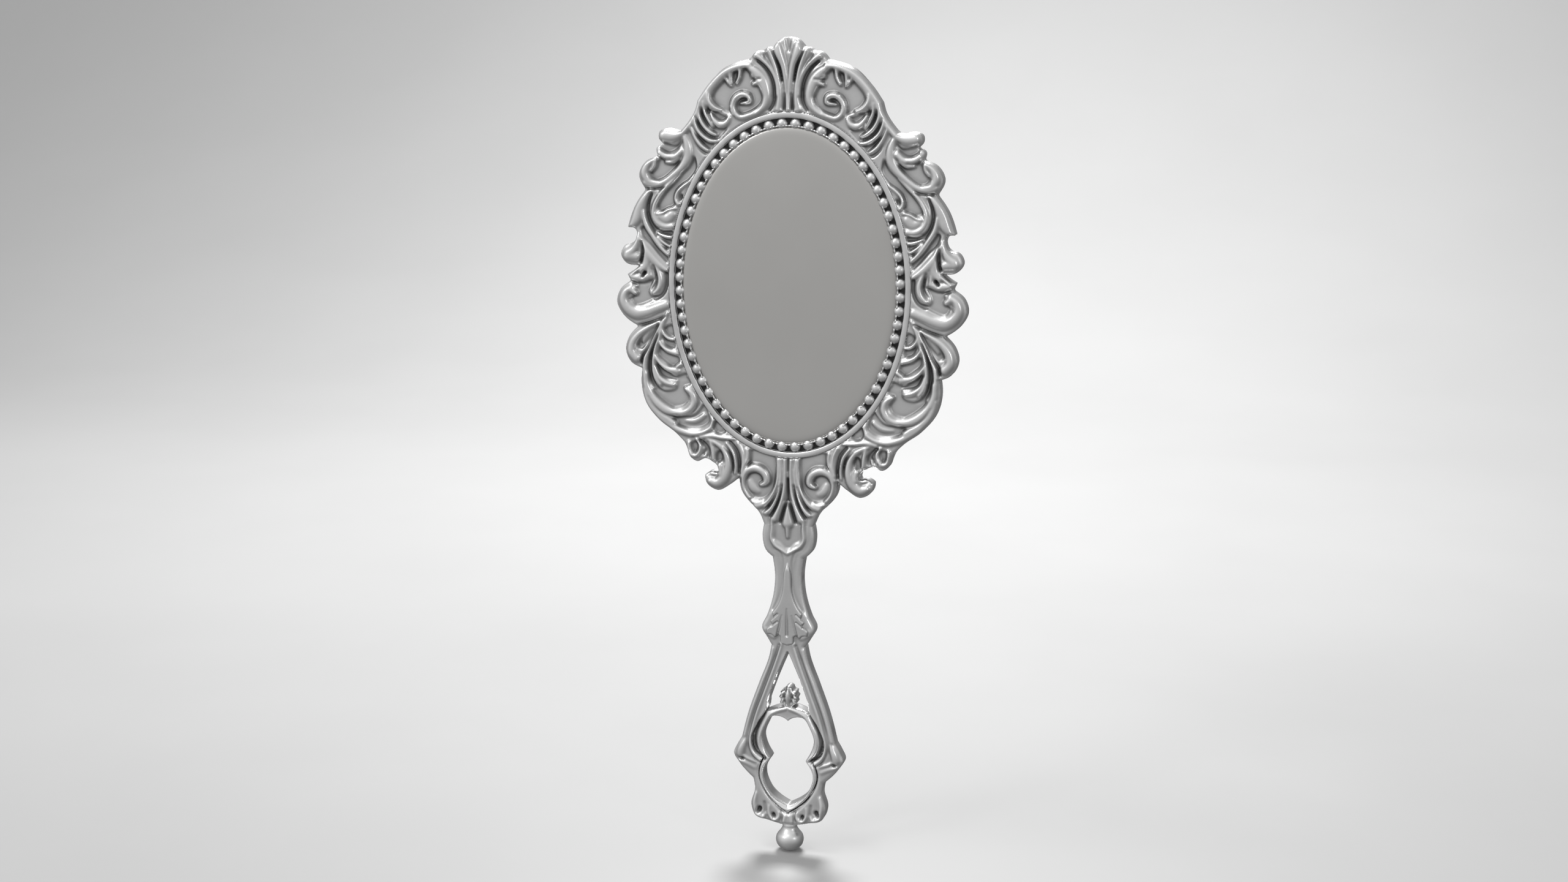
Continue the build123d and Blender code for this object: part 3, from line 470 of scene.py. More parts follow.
TRACERY = {
    "fields": [],
    "ridges": [
        ([(0.8, 50.4), (3.6, 49.4), (6, 48), (7.7, 45.2), (9.1, 42), (9.8, 38.8), (9.4, 36.2), (8.2, 34.2),
         (6.8, 33)], [0.9, 0.9, 0.8, 0.75, 0.7, 0.7, 0.7, 0.75, 0.8], [2.0]),
        ([(6.8, 32.2), (8.7, 29.6), (9.1, 27), (8.4, 23.8), (6.7, 20.8), (4.2, 17.8), (1.9, 15.7),
         (0, 15)], [0.65], [2.0]),
        ([(8.4, 34.6), (6.8, 33)], [1.2, 1.5], [1.7, 1.8]),
    ],
    "grooves": [
        ([(8, 48.8), (9.6, 45.6), (11.2, 41.8), (11.6, 38.8), (11, 36), (9.8, 33.8), (8.2, 32.6)], [0.8],
         [2.2]),
    ],
}
BUD = {
    "fields": [],
    "ridges": [
        ([(0, 57.4), (0, 55), (0, 52.2)], [0.5, 1.2, 0.9], [1.7, 2.4, 1.9]),
        ([(1.1, 56.8), (2, 55.6), (2.5, 54.4)], [0.4, 0.6, 0.6], [1.4, 1.8, 1.7]),
        ([(1.7, 53.6), (2.3, 52.6)], [0.6], [1.7]),
    ],
    "grooves": [
        ([(0.6, 57.4), (1.3, 55.1), (1, 52.4)], [0.3], [0.9]),
        ([(1.4, 54.2), (2.5, 53.4)], [0.25], [0.6]),
    ],
}


# ---- curves and distances, on plain arrays ----
def spread(values, count):
    """values laid evenly over count points."""
    return np.interp(np.linspace(0, 1, count), np.linspace(0, 1, len(values)), values)


def smooth_line(points, closed=False, pitch=0.3):
    """Points every pitch or so on a smooth curve through the given rows, of any number of columns."""
    p = np.array(points, float)
    if closed:
        p = np.vstack([p[-1], p, p[0], p[1]])
    if len(p) == 2:
        count = max(2, math.ceil(np.linalg.norm(p[1, :2] - p[0, :2]) / pitch) + 1)
        return p[0] + (p[1] - p[0]) * np.linspace(0, 1, count)[:, None]
    length = np.linalg.norm(np.diff(p[:, :2], axis=0), axis=1)[:, None]
    slope = np.diff(p, axis=0) / length
    middle = (slope[:-1] * length[1:] + slope[1:] * length[:-1]) / (length[:-1] + length[1:])
    tangent = np.vstack([1.5 * slope[:1] - 0.5 * middle[:1], middle, 1.5 * slope[-1:] - 0.5 * middle[-1:]])
    first, last = (1, len(p) - 2) if closed else (0, len(p) - 1)
    rows = []
    for i in range(first, last):
        count = max(2, math.ceil(length[i, 0] / pitch))
        t = np.linspace(0, 1, count, endpoint=False)[:, None]
        rows.append((1 + 2 * t) * (1 - t) ** 2 * p[i] + t * (1 - t) ** 2 * length[i] * tangent[i]
                    + t * t * (3 - 2 * t) * p[i + 1] - t * t * (1 - t) * length[i] * tangent[i + 1])
    rows.append(p[last:last + 1])
    return np.vstack(rows)


def outline_of(runs):
    """A closed outline from runs of the right half: the runs, then the mirror image back."""
    half = np.vstack([smooth_line(run)[:-1] for run in runs] + [[runs[-1][-1]]])
    return np.vstack([half, (half * [-1, 1])[::-1]])


def region_of(first, second):
    """A closed outline between two parting lines."""
    return np.vstack([smooth_line(first), smooth_line(second)[::-1]])


class Sheet:
    """A grid over part of the front view, with a height and distances at its points."""

    def __init__(self, x0, x1, z0, z1, step=STEP):
        self.step = step
        self.x = x0 + step * np.arange(round((x1 - x0) / step) + 1)
        self.z = z0 + step * np.arange(round((z1 - z0) / step) + 1)
        self.height = np.zeros((len(self.z), len(self.x)))

    def window(self, points, margin):
        """Slices of the grid round some points."""
        lo, hi = points[:, :2].min(0) - margin, points[:, :2].max(0) + margin
        i0, i1 = np.searchsorted(self.x, [lo[0], hi[0]])
        j0, j1 = np.searchsorted(self.z, [lo[1], hi[1]])
        return slice(j0, j1), slice(i0, i1)

    def segments(self, line, window):
        """For each grid point of a window and each piece of the line: distance, and share along it."""
        x = self.x[window[1]][None, :, None]
        z = self.z[window[0]][:, None, None]
        a, d = line[:-1, :2], np.diff(line[:, :2], axis=0)
        square = np.maximum((d * d).sum(1), 1e-12)
        share = (((x - a[:, 0]) * d[:, 0] + (z - a[:, 1]) * d[:, 1]) / square).clip(0, 1)
        return np.hypot(x - a[:, 0] - share * d[:, 0], z - a[:, 1] - share * d[:, 1]), share

    def distance(self, line):
        """Distance to a line, followed as far as REACH."""
        result = np.full(self.height.shape, REACH)
        for start in range(0, len(line) - 1, 12):
            part = line[start:start + 13]
            window = self.window(part, REACH)
            if window[0].start < window[0].stop and window[1].start < window[1].stop:
                near = self.segments(part, window)[0].min(2)
                result[window] = np.minimum(result[window], near)
        return result

    def inside(self, outline):
        """Whether each grid point is inside a closed outline."""
        loop = np.vstack([outline, outline[:1]])
        result = np.zeros(self.height.shape, bool)
        for (xa, za), (xb, zb) in zip(loop[:-1], loop[1:]):
            rows = np.nonzero((self.z > min(za, zb)) & (self.z <= max(za, zb)))[0]
            if len(rows):
                cross = xa + (self.z[rows] - za) * (xb - xa) / (zb - za)
                result[rows] ^= self.x[None, :] > cross[:, None]
        return result

    def signed(self, outline):
        """Distance to a closed outline, positive inside."""
        gap = self.distance(np.vstack([outline, outline[:1]]))
        return np.where(self.inside(outline), gap, -gap)

    def oval(self, axes):
        """Distance outwards from an oval about the head's centre."""
        x, z = self.x[None, :], self.z[:, None] - OVAL_Z
        value = (x / axes[0]) ** 2 + (z / axes[1]) ** 2 - 1
        steep = 2 * np.hypot(x / axes[0] ** 2, z / axes[1] ** 2)
        return value / np.maximum(steep, 1e-4)

    def stroke(self, points, widths, heights, profile):
        """The highest value of a stroke of changing width at each grid point of a window."""
        count = len(points)
        rows = np.column_stack([points, spread(widths, count), spread(heights, count)])
        line = smooth_line(rows)
        window = self.window(line, line[:, 2].max())
        gap, share = self.segments(line, window)
        width = line[:-1, 2] + share * np.diff(line[:, 2])
        height = line[:-1, 3] + share * np.diff(line[:, 3])
        return window, (height * profile((gap / np.maximum(width, 0.05)).clip(0, 1))).max(2)

    def carve(self, design):
        """Sinks the fields, raises the ridges and cuts the grooves of one design."""
        for level, points in design["fields"]:
            outline = smooth_line(points, closed=True)
            depth = (self.signed(outline) / FIELD_SLOPE).clip(0, 1)
            self.height += (np.minimum(self.height, level) - self.height) * depth * depth * (3 - 2 * depth)
        for points, widths, heights in design["ridges"]:
            window, value = self.stroke(points, widths, heights, lambda u: (1 - u ** 2.6) ** 0.6)
            self.height[window] = np.maximum(self.height[window], value)
        for points, widths, depths in design["grooves"]:
            window, value = self.stroke(points, widths, depths, lambda u: (1 - u * u) ** 1.5)
            self.height[window] -= value


def blurred(values, radius, step=STEP):
    """values softened by three passes of a box of about that radius, in millimetres."""
    reach = max(1, round(radius / step / 1.7))
    for axis in (0, 1):
        for _ in range(3):
            margins = [(reach + 1, reach) if a == axis else (0, 0) for a in (0, 1)]
            total = np.pad(values, margins, mode="edge").cumsum(axis)
            far = np.take(total, range(2 * reach + 1, total.shape[axis]), axis)
            values = (far - np.take(total, range(total.shape[axis] - 2 * reach - 1), axis)) / (2 * reach + 1)
    return values


def cavity_of(ground, step=STEP):
    """How far each point lies below the ground round it."""
    near, wide = (blurred(ground, radius, step) for radius in CAVITY_REACH)
    return CAVITY_NEAR * near + (1 - CAVITY_NEAR) * wide - ground


def rounding(gap, width):
    """0 at an edge, rising like a quarter round to 1 at the given width."""
    share = (1 - gap / width).clip(0, 1)
    return np.sqrt(np.maximum(1 - share * share, 0))


def ease(value, start, end):
    """0 at start and 1 at end, with a smooth run between them."""
    t = ((value - start) / (end - start)).clip(0, 1)
    return t * t * (3 - 2 * t)


# ---- meshes: patches cut from a sheet, and pieces made of them ----
SNAP = 0.3                                      # share of a step within which a point is pulled to the edge
EASINGS = 4                                     # passes that even out the points along a silhouette
RIM_BLENDS = 60                                 # passes that even out the cavity along a rim
HANDLE_BODY = 1.75                              # height of the metal between the strokes of the handle
HANDLE_ROUND = 1.5                              # width of the rounding along the handle's silhouette
HOLE_ROUND = 0.5                                # width of the rounding round the opening of the loop
BEZEL_REST = 0.75                               # height of the border where it meets the bezel
BEZEL_ROUND = 0.6                               # width of the rounding where it meets it
HALF_MIRROR = (0, 58, 9, 271)                   # x and z limits of the sheet of the mirror's right half
HANDLE_BLEND = (119, 114.5)                     # z over which the head's settings give way to the handle's
LEAST_HEIGHT = 0.15                             # lowest that a groove or field cuts
OPEN_AIR = -0.5                                 # ground height taken for the open air, low so that open edges get a painted highlight
BEZEL_GROUND = 1.2                              # ground height taken for the bezel and what it holds
SHARP = math.radians(48)                        # edges steeper than this stay crisp
SILHOUETTE = outline_of(HEAD_OUTLINE + [COLLAR_SIDE, STEM_SIDE] + LOOP_SIDE)
HOLE = outline_of(LOOP_HOLE)
BORDER = (CREST, UPPER, HORN, SIDE, LOWER, HOOK, VOLUTE, SHELL)


def relief(step):
    """The relief of the mirror's right half, with its edges rounded, and what goes with it."""
    sheet = Sheet(*HALF_MIRROR, step)
    on_handle = ease(sheet.z, *HANDLE_BLEND)[:, None]
    sheet.height += BODY + (HANDLE_BODY - BODY) * on_handle
    for design in (HANDLE,) + BORDER:
        sheet.carve(design)
    sheet.height = blurred(np.maximum(sheet.height, LEAST_HEIGHT), SOFTENING, step)
    sheet.gap = sheet.signed(SILHOUETTE)
    sheet.hole = -sheet.signed(HOLE)
    sheet.ring = sheet.oval(BEZEL_OUT)
    open_air = (sheet.gap < 0) | (sheet.hole < 0)
    ground = np.where(open_air, OPEN_AIR, np.where(sheet.ring < 0, BEZEL_GROUND, sheet.height))
    # the cavity sets the painted shade and patina of the recesses, and the painted highlight of raised points
    # and open edges
    sheet.cavity = cavity_of(ground, step)
    sheet.wide = EDGE_ROUND + (HANDLE_ROUND - EDGE_ROUND) * on_handle + 0 * sheet.gap
    by_bezel = rounding(np.where(sheet.ring < 0, 9, sheet.ring), BEZEL_ROUND)
    sheet.height = np.where(by_bezel < 1, BEZEL_REST + (sheet.height - BEZEL_REST) * by_bezel, sheet.height)
    return sheet


class Patch:
    """The part of a sheet where solid is positive, cut along its edge. Each row of the table is a
    point: x, z, and the value of each field there. Faces are rows of points, padded with -1."""

    def __init__(self, sheet, solid, fields):
        rows = np.nonzero((solid > 0).any(1))[0]
        columns = np.nonzero((solid > 0).any(0))[0]
        part = (slice(max(rows[0] - 2, 0), rows[-1] + 3), slice(max(columns[0] - 2, 0), columns[-1] + 3))
        x, z, solid = sheet.x[part[1]], sheet.z[part[0]], solid[part]
        slope_z, slope_x = np.gradient(solid, sheet.step)
        near = np.abs(solid) < SNAP * sheet.step
        push = np.where(near, -solid, 0) / np.maximum(slope_x ** 2 + slope_z ** 2, 0.2)
        move_x, move_z = push * slope_x, push * slope_z
        move_x[:, x < 1e-6] = 0
        columns = [x[None, :] + move_x, z[:, None] + move_z]
        for field in fields:
            steep_z, steep_x = np.gradient(field[part], sheet.step)
            columns.append(field[part] + move_x * steep_x + move_z * steep_z)
        table = np.stack(columns, -1)
        level = np.where(near, 0, solid)
        corner = np.full(level.shape, -1)
        corner[level >= 0] = np.arange((level >= 0).sum())
        self.rows = [table[level >= 0]]
        flat = self.crossings(level[:, :-1], level[:, 1:], table[:, :-1], table[:, 1:])
        upright = self.crossings(level[:-1], level[1:], table[:-1], table[1:])
        table = np.vstack(self.rows)
        faces = np.stack([corner[:-1, :-1], flat[:-1], corner[:-1, 1:], upright[:, 1:],
                          corner[1:, 1:], flat[1:], corner[1:, :-1], upright[:, :-1]], -1).reshape(-1, 8)
        faces = faces[(faces >= 0).sum(1) >= 3]
        faces = np.take_along_axis(faces, np.argsort(faces < 0, axis=1, kind="stable"), 1)
        used = np.unique(faces[faces >= 0])
        number = np.full(len(table) + 1, -1)
        number[used] = np.arange(len(used))
        self.table, self.faces = table[used], number[faces]

    def crossings(self, first, second, first_table, second_table):
        """Adds a point on each grid edge that the edge of the solid crosses, and gives their numbers."""
        cut = first * second < 0
        share = (first[cut] / (first[cut] - second[cut]))[:, None]
        count = sum(len(rows) for rows in self.rows)
        self.rows.append(first_table[cut] * (1 - share) + second_table[cut] * share)
        number = np.full(first.shape, -1)
        number[cut] = count + np.arange(cut.sum())
        return number

    def doubled(self):
        """The patch joined to its mirror image along x = 0."""
        away = self.table[:, 0] > 1e-6
        twin = np.append(np.arange(len(self.table)), -1)
        twin[:-1][away] = len(self.table) + np.arange(away.sum())
        image = self.table[away] * ([-1] + [1] * (self.table.shape[1] - 1))
        self.table = np.vstack([self.table, image])
        self.faces = np.vstack([self.faces, twin[turned(self.faces)]])
        return self

    def eased(self):
        """The patch with the points along its silhouette and its opening evened out."""
        free = (self.table[:, 3] < 0.02) | (self.table[:, 4] < 0.02)
        self.table = relaxed(self.table, open_edges(self.faces), free)
        return self


def turned(faces):
    """The same padded faces, seen from the other side."""
    count = (faces >= 0).sum(1)[:, None]
    place = count - 1 - np.arange(faces.shape[1])[None, :]
    return np.where(place >= 0, np.take_along_axis(faces, place.clip(0), 1), -1)


def relaxed(table, edges, free):
    """The table with the points of its open edges that are free eased along the edge they lie on, and
    the cavity evened out along every open edge, because a wall carries its rim's value all the way down."""
    after = np.arange(len(table))
    before = after.copy()
    after[edges[:, 0]], before[edges[:, 1]] = edges[:, 1], edges[:, 0]
    move = np.zeros(len(table), bool)
    move[edges.ravel()] = True
    move &= free
    for _ in range(EASINGS):
        eased = 0.5 * table[:, :2] + 0.25 * (table[after, :2] + table[before, :2])
        table[move, :2] = eased[move]
    rim = np.unique(edges)
    for _ in range(RIM_BLENDS):
        table[rim, -1] = 0.5 * table[rim, -1] + 0.25 * (table[after[rim], -1] + table[before[rim], -1])
    return table


def open_edges(faces):
    """The directed edges that only one of the padded faces has."""
    count = (faces >= 0).sum(1)[:, None]
    place = np.arange(faces.shape[1])[None, :]
    after = np.take_along_axis(faces, np.where(place + 1 < count, place + 1, 0) % faces.shape[1], 1)
    first, second = faces[faces >= 0], after[faces >= 0]
    size = faces.max() + 1
    alone = ~np.isin(first * size + second, second * size + first)
    return np.column_stack([first[alone], second[alone]])


def loops_of(edges):
    """Closed loops of points from directed edges."""
    after = {}
    for a, b in edges.tolist():
        after.setdefault(a, []).append(b)
    loops = []
    while after:
        start = next(iter(after))
        loop, point = [], start
        while True:
            loop.append(point)
            ways = after[point]
            step = ways.pop()
            if not ways:
                del after[point]
            point = step
            if point == start or point not in after:
                break
        loops.append(loop)
    return loops


def padded(faces, width=8):
    """Faces of any number of points as rows of one array."""
    table = np.full((len(faces), width), -1)
    for row, face in zip(table, faces):
        row[:len(face)] = face
    return table


def add_mesh(name, points, faces, cavity=None, crisp=()):
    """An object from points in millimetres and padded faces. crisp are edges that don't shade over."""
    mesh = bpy.data.meshes.new(name)
    counts = (faces >= 0).sum(1)
    mesh.vertices.add(len(points))
    mesh.vertices.foreach_set("co", (np.asarray(points, float) * MM).astype(np.float32).ravel())
    mesh.loops.add(int(counts.sum()))
    mesh.loops.foreach_set("vertex_index", faces[faces >= 0].astype(np.int32))
    mesh.polygons.add(len(faces))
    mesh.polygons.foreach_set("loop_start", (np.cumsum(counts) - counts).astype(np.int32))
    mesh.update(calc_edges=True)
    mesh.validate()
    mesh.polygons.foreach_set("use_smooth", np.ones(len(mesh.polygons), bool))
    mesh.set_sharp_from_angle(angle=SHARP)
    if len(crisp):
        size = len(points)
        ends = np.zeros(len(mesh.edges) * 2, np.int64)
        mesh.edges.foreach_get("vertices", ends)
        ends = np.sort(ends.reshape(-1, 2), 1)
        wanted = np.sort(np.asarray(crisp), 1)
        sharp = np.zeros(len(mesh.edges), bool)
        mark = mesh.attributes["sharp_edge"] if "sharp_edge" in mesh.attributes else None
        if mark is None:
            mark = mesh.attributes.new("sharp_edge", "BOOLEAN", "EDGE")
        mark.data.foreach_get("value", sharp)
        sharp |= np.isin(ends[:, 0] * size + ends[:, 1], wanted[:, 0] * size + wanted[:, 1])
        mark.data.foreach_set("value", sharp)
    if cavity is not None:
        mark = mesh.attributes.new("cavity", "FLOAT", "POINT")
        mark.data.foreach_set("value", np.asarray(cavity, np.float32))
    mesh.update()
    piece = bpy.data.objects.new(name, mesh)
    bpy.context.scene.collection.objects.link(piece)
    return piece


def standing(name, patch, top, floor, cavity, side=1):
    """A piece that stands on a flat plane: its top is the patch at the heights in top, along y."""
    table = patch.table * ([side] + [1] * (patch.table.shape[1] - 1))
    faces = patch.faces if (side > 0) == (top.mean() < floor) else turned(patch.faces)
    points = np.column_stack([table[:, 0], top, table[:, 1]])
    edges = open_edges(faces)
    rim = np.unique(edges)
    raised = rim[np.abs(top[rim] - floor) > 1e-3]
    under = np.arange(len(points))
    under[raised] = len(points) + np.arange(len(raised))
    feet = points[raised].copy()
    feet[:, 1] = floor
    points = np.vstack([points, feet])
    extra = []
    for a, b in edges.tolist():
        wall = [b, a, int(under[a]), int(under[b])]
        if wall[2] == a:
            wall.remove(a)
        if wall[-1] == b:
            wall.pop()
        if len(wall) >= 3:
            extra.append(wall)
    loops = [[int(under[p]) for p in loop] for loop in loops_of(edges) if len(loop) > 2]
    order = [p for loop in loops for p in loop]
    flat = points[:, [0, 2]]
    facing = 1 if top.mean() < floor else -1
    for triangle in tessellate_polygon([[Vector((*flat[p], 0)) for p in loop] for loop in loops]):
        a, b, c = (order[i] for i in triangle)
        u, v = flat[b] - flat[a], flat[c] - flat[a]
        extra.append([a, c, b] if (u[0] * v[1] - u[1] * v[0]) * facing > 0 else [a, b, c])
    cavity = np.concatenate([cavity, np.zeros(len(raised))])
    return add_mesh(name, points, np.vstack([faces, padded(extra)]), cavity, np.vstack([edges, under[edges]]))


def two_sided(name, patch, front, back, cavity):
    """A piece with relief on both faces and a wall round its edge."""
    size = len(patch.table)
    points = np.vstack([np.column_stack([patch.table[:, 0], y, patch.table[:, 1]]) for y in (front, back)])
    behind = np.where(patch.faces >= 0, patch.faces + size, -1)
    edges = open_edges(patch.faces)
    walls = [[b, a, a + size, b + size] for a, b in edges.tolist()]
    faces = np.vstack([patch.faces, turned(behind), padded(walls)])
    return add_mesh(name, points, faces, np.concatenate([cavity, cavity]), np.vstack([edges, edges + size]))


def oval_disc(name, rings, count=256):
    """A disc of ovals round the head's centre. A ring is (half width, half height, y)."""
    angle = np.linspace(0, math.tau, count, endpoint=False)
    points, starts = [], []
    for a, b, y in rings:
        starts.append(len(points))
        if a == 0:
            points.append((0, y, OVAL_Z))
        else:
            points += [(a * math.cos(t), y, OVAL_Z + b * math.sin(t)) for t in angle]
    faces = []
    for (one, two), (first, second) in zip(zip(rings, rings[1:]), zip(starts, starts[1:])):
        for k in range(count):
            n = (k + 1) % count
            if one[0] == 0:
                faces.append([first, second + k, second + n])
            elif two[0] == 0:
                faces.append([second, first + n, first + k])
            else:
                faces.append([first + k, second + k, second + n, first + n])
    return add_mesh(name, points, padded(faces))


def oval_band(name, axes, section, count):
    """A closed band round the head's centre. section(turn) gives its (inset, y) points, turn going 0 to 1."""
    points = []
    for k in range(count):
        c, s = math.cos(math.tau * k / count), math.sin(math.tau * k / count)
        points += [((axes[0] - inset) * c, y, OVAL_Z + (axes[1] - inset) * s)
                   for inset, y in section(k / count)]
    size = len(points) // count
    faces = []
    for k in range(count):
        a, b = k * size, (k + 1) % count * size
        faces += [[a + i, a + (i + 1) % size, b + (i + 1) % size, b + i] for i in range(size)]
    return add_mesh(name, points, padded(faces))


def lathe(name, side, count=72):
    """A piece turned about the handle's axis. side is (radius, z) points down to one on the axis."""
    line = smooth_line(side, pitch=0.25)
    line[-1, 0] = 0
    points, faces = [(0, 0, line[0, 1])], []
    for radius, z in line[:-1]:
        points += [(radius * math.cos(t), radius * math.sin(t), z)
                   for t in np.linspace(0, math.tau, count, endpoint=False)]
    points.append((0, 0, line[-1, 1]))
    for k in range(count):
        n = (k + 1) % count
        faces.append([0, 1 + k, 1 + n])
        for ring in range(len(line) - 2):
            a = 1 + ring * count
            faces.append([a + k, a + count + k, a + count + n, a + n])
        last = 1 + (len(line) - 2) * count
        faces.append([len(points) - 1, last + n, last + k])
    return add_mesh(name, points, padded(faces))


# ---- finishes ----
PATINA_SHADE_WANDER = 0.12                                     # how much the edge of the patina and painted shade wanders
GRAIN_DEPTH = 0.0002                            # metres from the grain's top to its bottom
TONE_SIZE = 6                                   # size of the patches of tone over the grain's
GRAIN_GLOSS = 0.25                              # how much the grain changes the roughness


def finish_of(name, colours, low_cavity, high_cavity, rough, metal, bump, grain, uses_cavity=True):
    """A material whose colour and roughness follow how deep a point lies, with a fine cast grain. Read from
    the cavity, the colour paints shade, together with patina, into the recesses and a painted highlight onto
    raised points.
    colours are (share, grey or colour) stops from the ridges to the recesses; rough is (ridge, recess)."""
    material = bpy.data.materials.new(name)
    material.use_nodes = True
    nodes, links = material.node_tree.nodes, material.node_tree.links
    shader = nodes["Principled BSDF"]
    shader.inputs["Metallic"].default_value = metal
    place = nodes.new("ShaderNodeTexCoord")
    tone = nodes.new("ShaderNodeTexNoise")
    tone.inputs["Scale"].default_value = grain / TONE_SIZE
    tone.inputs["Detail"].default_value = 4
    fine = nodes.new("ShaderNodeTexNoise")
    fine.inputs["Scale"].default_value = grain
    fine.inputs["Detail"].default_value = 6
    for noise in (tone, fine):
        links.new(place.outputs["Object"], noise.inputs["Vector"])
    depth = nodes.new("ShaderNodeMapRange")
    depth.inputs["From Min"].default_value = low_cavity
    depth.inputs["From Max"].default_value = high_cavity
    if uses_cavity:
        source = nodes.new("ShaderNodeAttribute")
        source.attribute_name = "cavity"
        patina_shade = nodes.new("ShaderNodeMath")
        patina_shade.operation = "MULTIPLY_ADD"
        patina_shade.inputs[1].default_value = PATINA_SHADE_WANDER
        links.new(tone.outputs["Fac"], patina_shade.inputs[0])
        links.new(source.outputs["Fac"], patina_shade.inputs[2])
        links.new(patina_shade.outputs[0], depth.inputs["Value"])
    else:
        links.new(tone.outputs["Fac"], depth.inputs["Value"])
    ramp = nodes.new("ShaderNodeValToRGB")
    stops = ramp.color_ramp.elements
    while len(stops) < len(colours):
        stops.new(0.5)
    for stop, (share, colour) in zip(stops, colours):
        stop.position = share
        stop.color = (*colour, 1) if isinstance(colour, tuple) else (colour, colour, colour, 1)
    links.new(depth.outputs["Result"], ramp.inputs["Fac"])
    links.new(ramp.outputs["Color"], shader.inputs["Base Color"])
    gloss = nodes.new("ShaderNodeMapRange")
    gloss.inputs["To Min"].default_value, gloss.inputs["To Max"].default_value = rough
    mix = nodes.new("ShaderNodeMath")
    mix.operation = "MULTIPLY_ADD"
    mix.inputs[1].default_value = GRAIN_GLOSS
    links.new(fine.outputs["Fac"], mix.inputs[0])
    links.new(depth.outputs["Result"], mix.inputs[2])
    links.new(mix.outputs[0], gloss.inputs["Value"])
    links.new(gloss.outputs["Result"], shader.inputs["Roughness"])
    relief_bump = nodes.new("ShaderNodeBump")
    relief_bump.inputs["Strength"].default_value = bump
    relief_bump.inputs["Distance"].default_value = GRAIN_DEPTH
    links.new(fine.outputs["Fac"], relief_bump.inputs["Height"])
    links.new(relief_bump.outputs["Normal"], shader.inputs["Normal"])
    return material


# painted light: raised points and open edges get a painted highlight, and the recesses are darkened nearly to
# black as painted shade together with the old silver's patina
SILVER = finish_of("cast_silver", [(0.0, 0.82), (0.28, 0.62), (0.5, 0.42), (0.68, 0.17), (0.95, 0.025)],
                   -0.55, 1.05, (0.2, 0.5), 1.0, 0.12, 900)
BAND = finish_of("bezel_silver", [(0.3, 0.66), (0.7, 0.56)], 0.0, 1.0, (0.28, 0.38), 1.0, 0.08, 1200, False)
PEARL = finish_of("bead_silver", [(0.3, 0.66), (0.7, 0.56)], 0.0, 1.0, (0.35, 0.45), 1.0, 0.08, 1200, False)
# painted shade: the bead channel is near black so that the gaps between the beads read as shadow
CHANNEL_SHADE = finish_of("dark_channel", [(0.3, 0.006), (0.7, 0.016)], 0.0, 1.0, (0.55, 0.75), 0.0, 0.2, 1500, False)
MIRROR = finish_of("silvered_glass", [(0.35, (0.45, 0.444, 0.432)), (0.65, (0.48, 0.474, 0.462))], 0.0, 1.0,
                   (0.3, 0.34), 1.0, 0.0, 90, False)
FELT = finish_of("felt", [(0.3, 0.02), (0.7, 0.05)], 0.0, 1.0, (0.9, 1.0), 0.0, 0.6, 2500, False)
BOARD = finish_of("board", [(0.3, (0.18, 0.12, 0.07)), (0.7, (0.26, 0.18, 0.11))], 0.0, 1.0, (0.8, 0.95),
                  0.0, 0.4, 700, False)
STEEL = finish_of("steel", [(0.3, 0.42), (0.7, 0.55)], 0.0, 1.0, (0.22, 0.34), 1.0, 0.05, 1500, False)


def show(piece, finish, slot, *nodes):
    """Gives a piece its finish, and sets it on the mirror in place of its CAD nodes."""
    piece.data.materials.append(finish)
    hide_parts(*nodes)
    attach(piece, "root")
    return piece


# ---- the border and the handle ----
front = relief(STEP)
FIELD_NAMES = ("height", "gap", "hole", "wide", "cavity")


def cut(sheet, solid):
    """The patch of a sheet where solid is positive, with every field of the relief."""
    return Patch(sheet, solid, [getattr(sheet, name) for name in FIELD_NAMES])


def lift(patch):
    """How far the points of a patch stand out of the plane the relief stands on."""
    height, gap, hole, wide = patch.table[:, 2:6].T
    return height * rounding(gap.clip(0), wide) * rounding(hole.clip(0), HOLE_ROUND)


def add_casting(name, first, second, both_sides, low_end=False):
    """A casting of the border between two lines, in one piece across x = 0 or as a pair."""
    solid = np.minimum(np.minimum(front.gap, front.ring), front.signed(region_of(first, second)))
    if low_end:
        solid = np.minimum(solid, front.z[:, None] - JOINT_Z)
    patch = cut(front, solid)
    if both_sides:
        patch.doubled().eased()
        piece = standing(name, patch, FRONT - lift(patch), FRONT, patch.table[:, 6])
        show(piece, SILVER, "cast_silver", name)
        return
    patch.eased()
    for side, suffix in ((1, "_right"), (-1, "_left")):
        piece = standing(name + suffix, patch, FRONT - lift(patch), FRONT, patch.table[:, 6], side)
        show(piece, SILVER, "cast_silver", name + suffix)


add_casting("crest_shell", CENTRE_TOP, CREST_PART, True)
add_casting("upper_scroll", CREST_PART, HORN_PART, False)
add_casting("horn_leaf", HORN_PART, SIDE_PART, False)
add_casting("side_scroll", SIDE_PART, LOWER_PART, False)
add_casting("lower_scroll", LOWER_PART, HOOK_PART, False)
add_casting("hook_leaf", HOOK_PART, VOLUTE_PART, False)
add_casting("base_volute", VOLUTE_PART, SHELL_PART, False)
add_casting("base_shell", SHELL_PART, CENTRE_FOOT, True, low_end=True)

BACK_STEP = 0.3                                 # spacing of the points of the head's back
SEAT = (HEAD_BACK - BACK) / BACK_SHARE          # height of the lands that the back plate and rivets sit on
LAND_WIDE = 1.3                                 # width of the land round the back plate
RIVETS = (low("tang_rivets").z + 1, high("tang_rivets").z - 1)     # heights of the rivets
RIVET_LAND = (2.6, 1.7)                         # radii between which the land round a rivet rises
LAND_SLOPE = 0.8                                # width of the slope beside the back plate's land


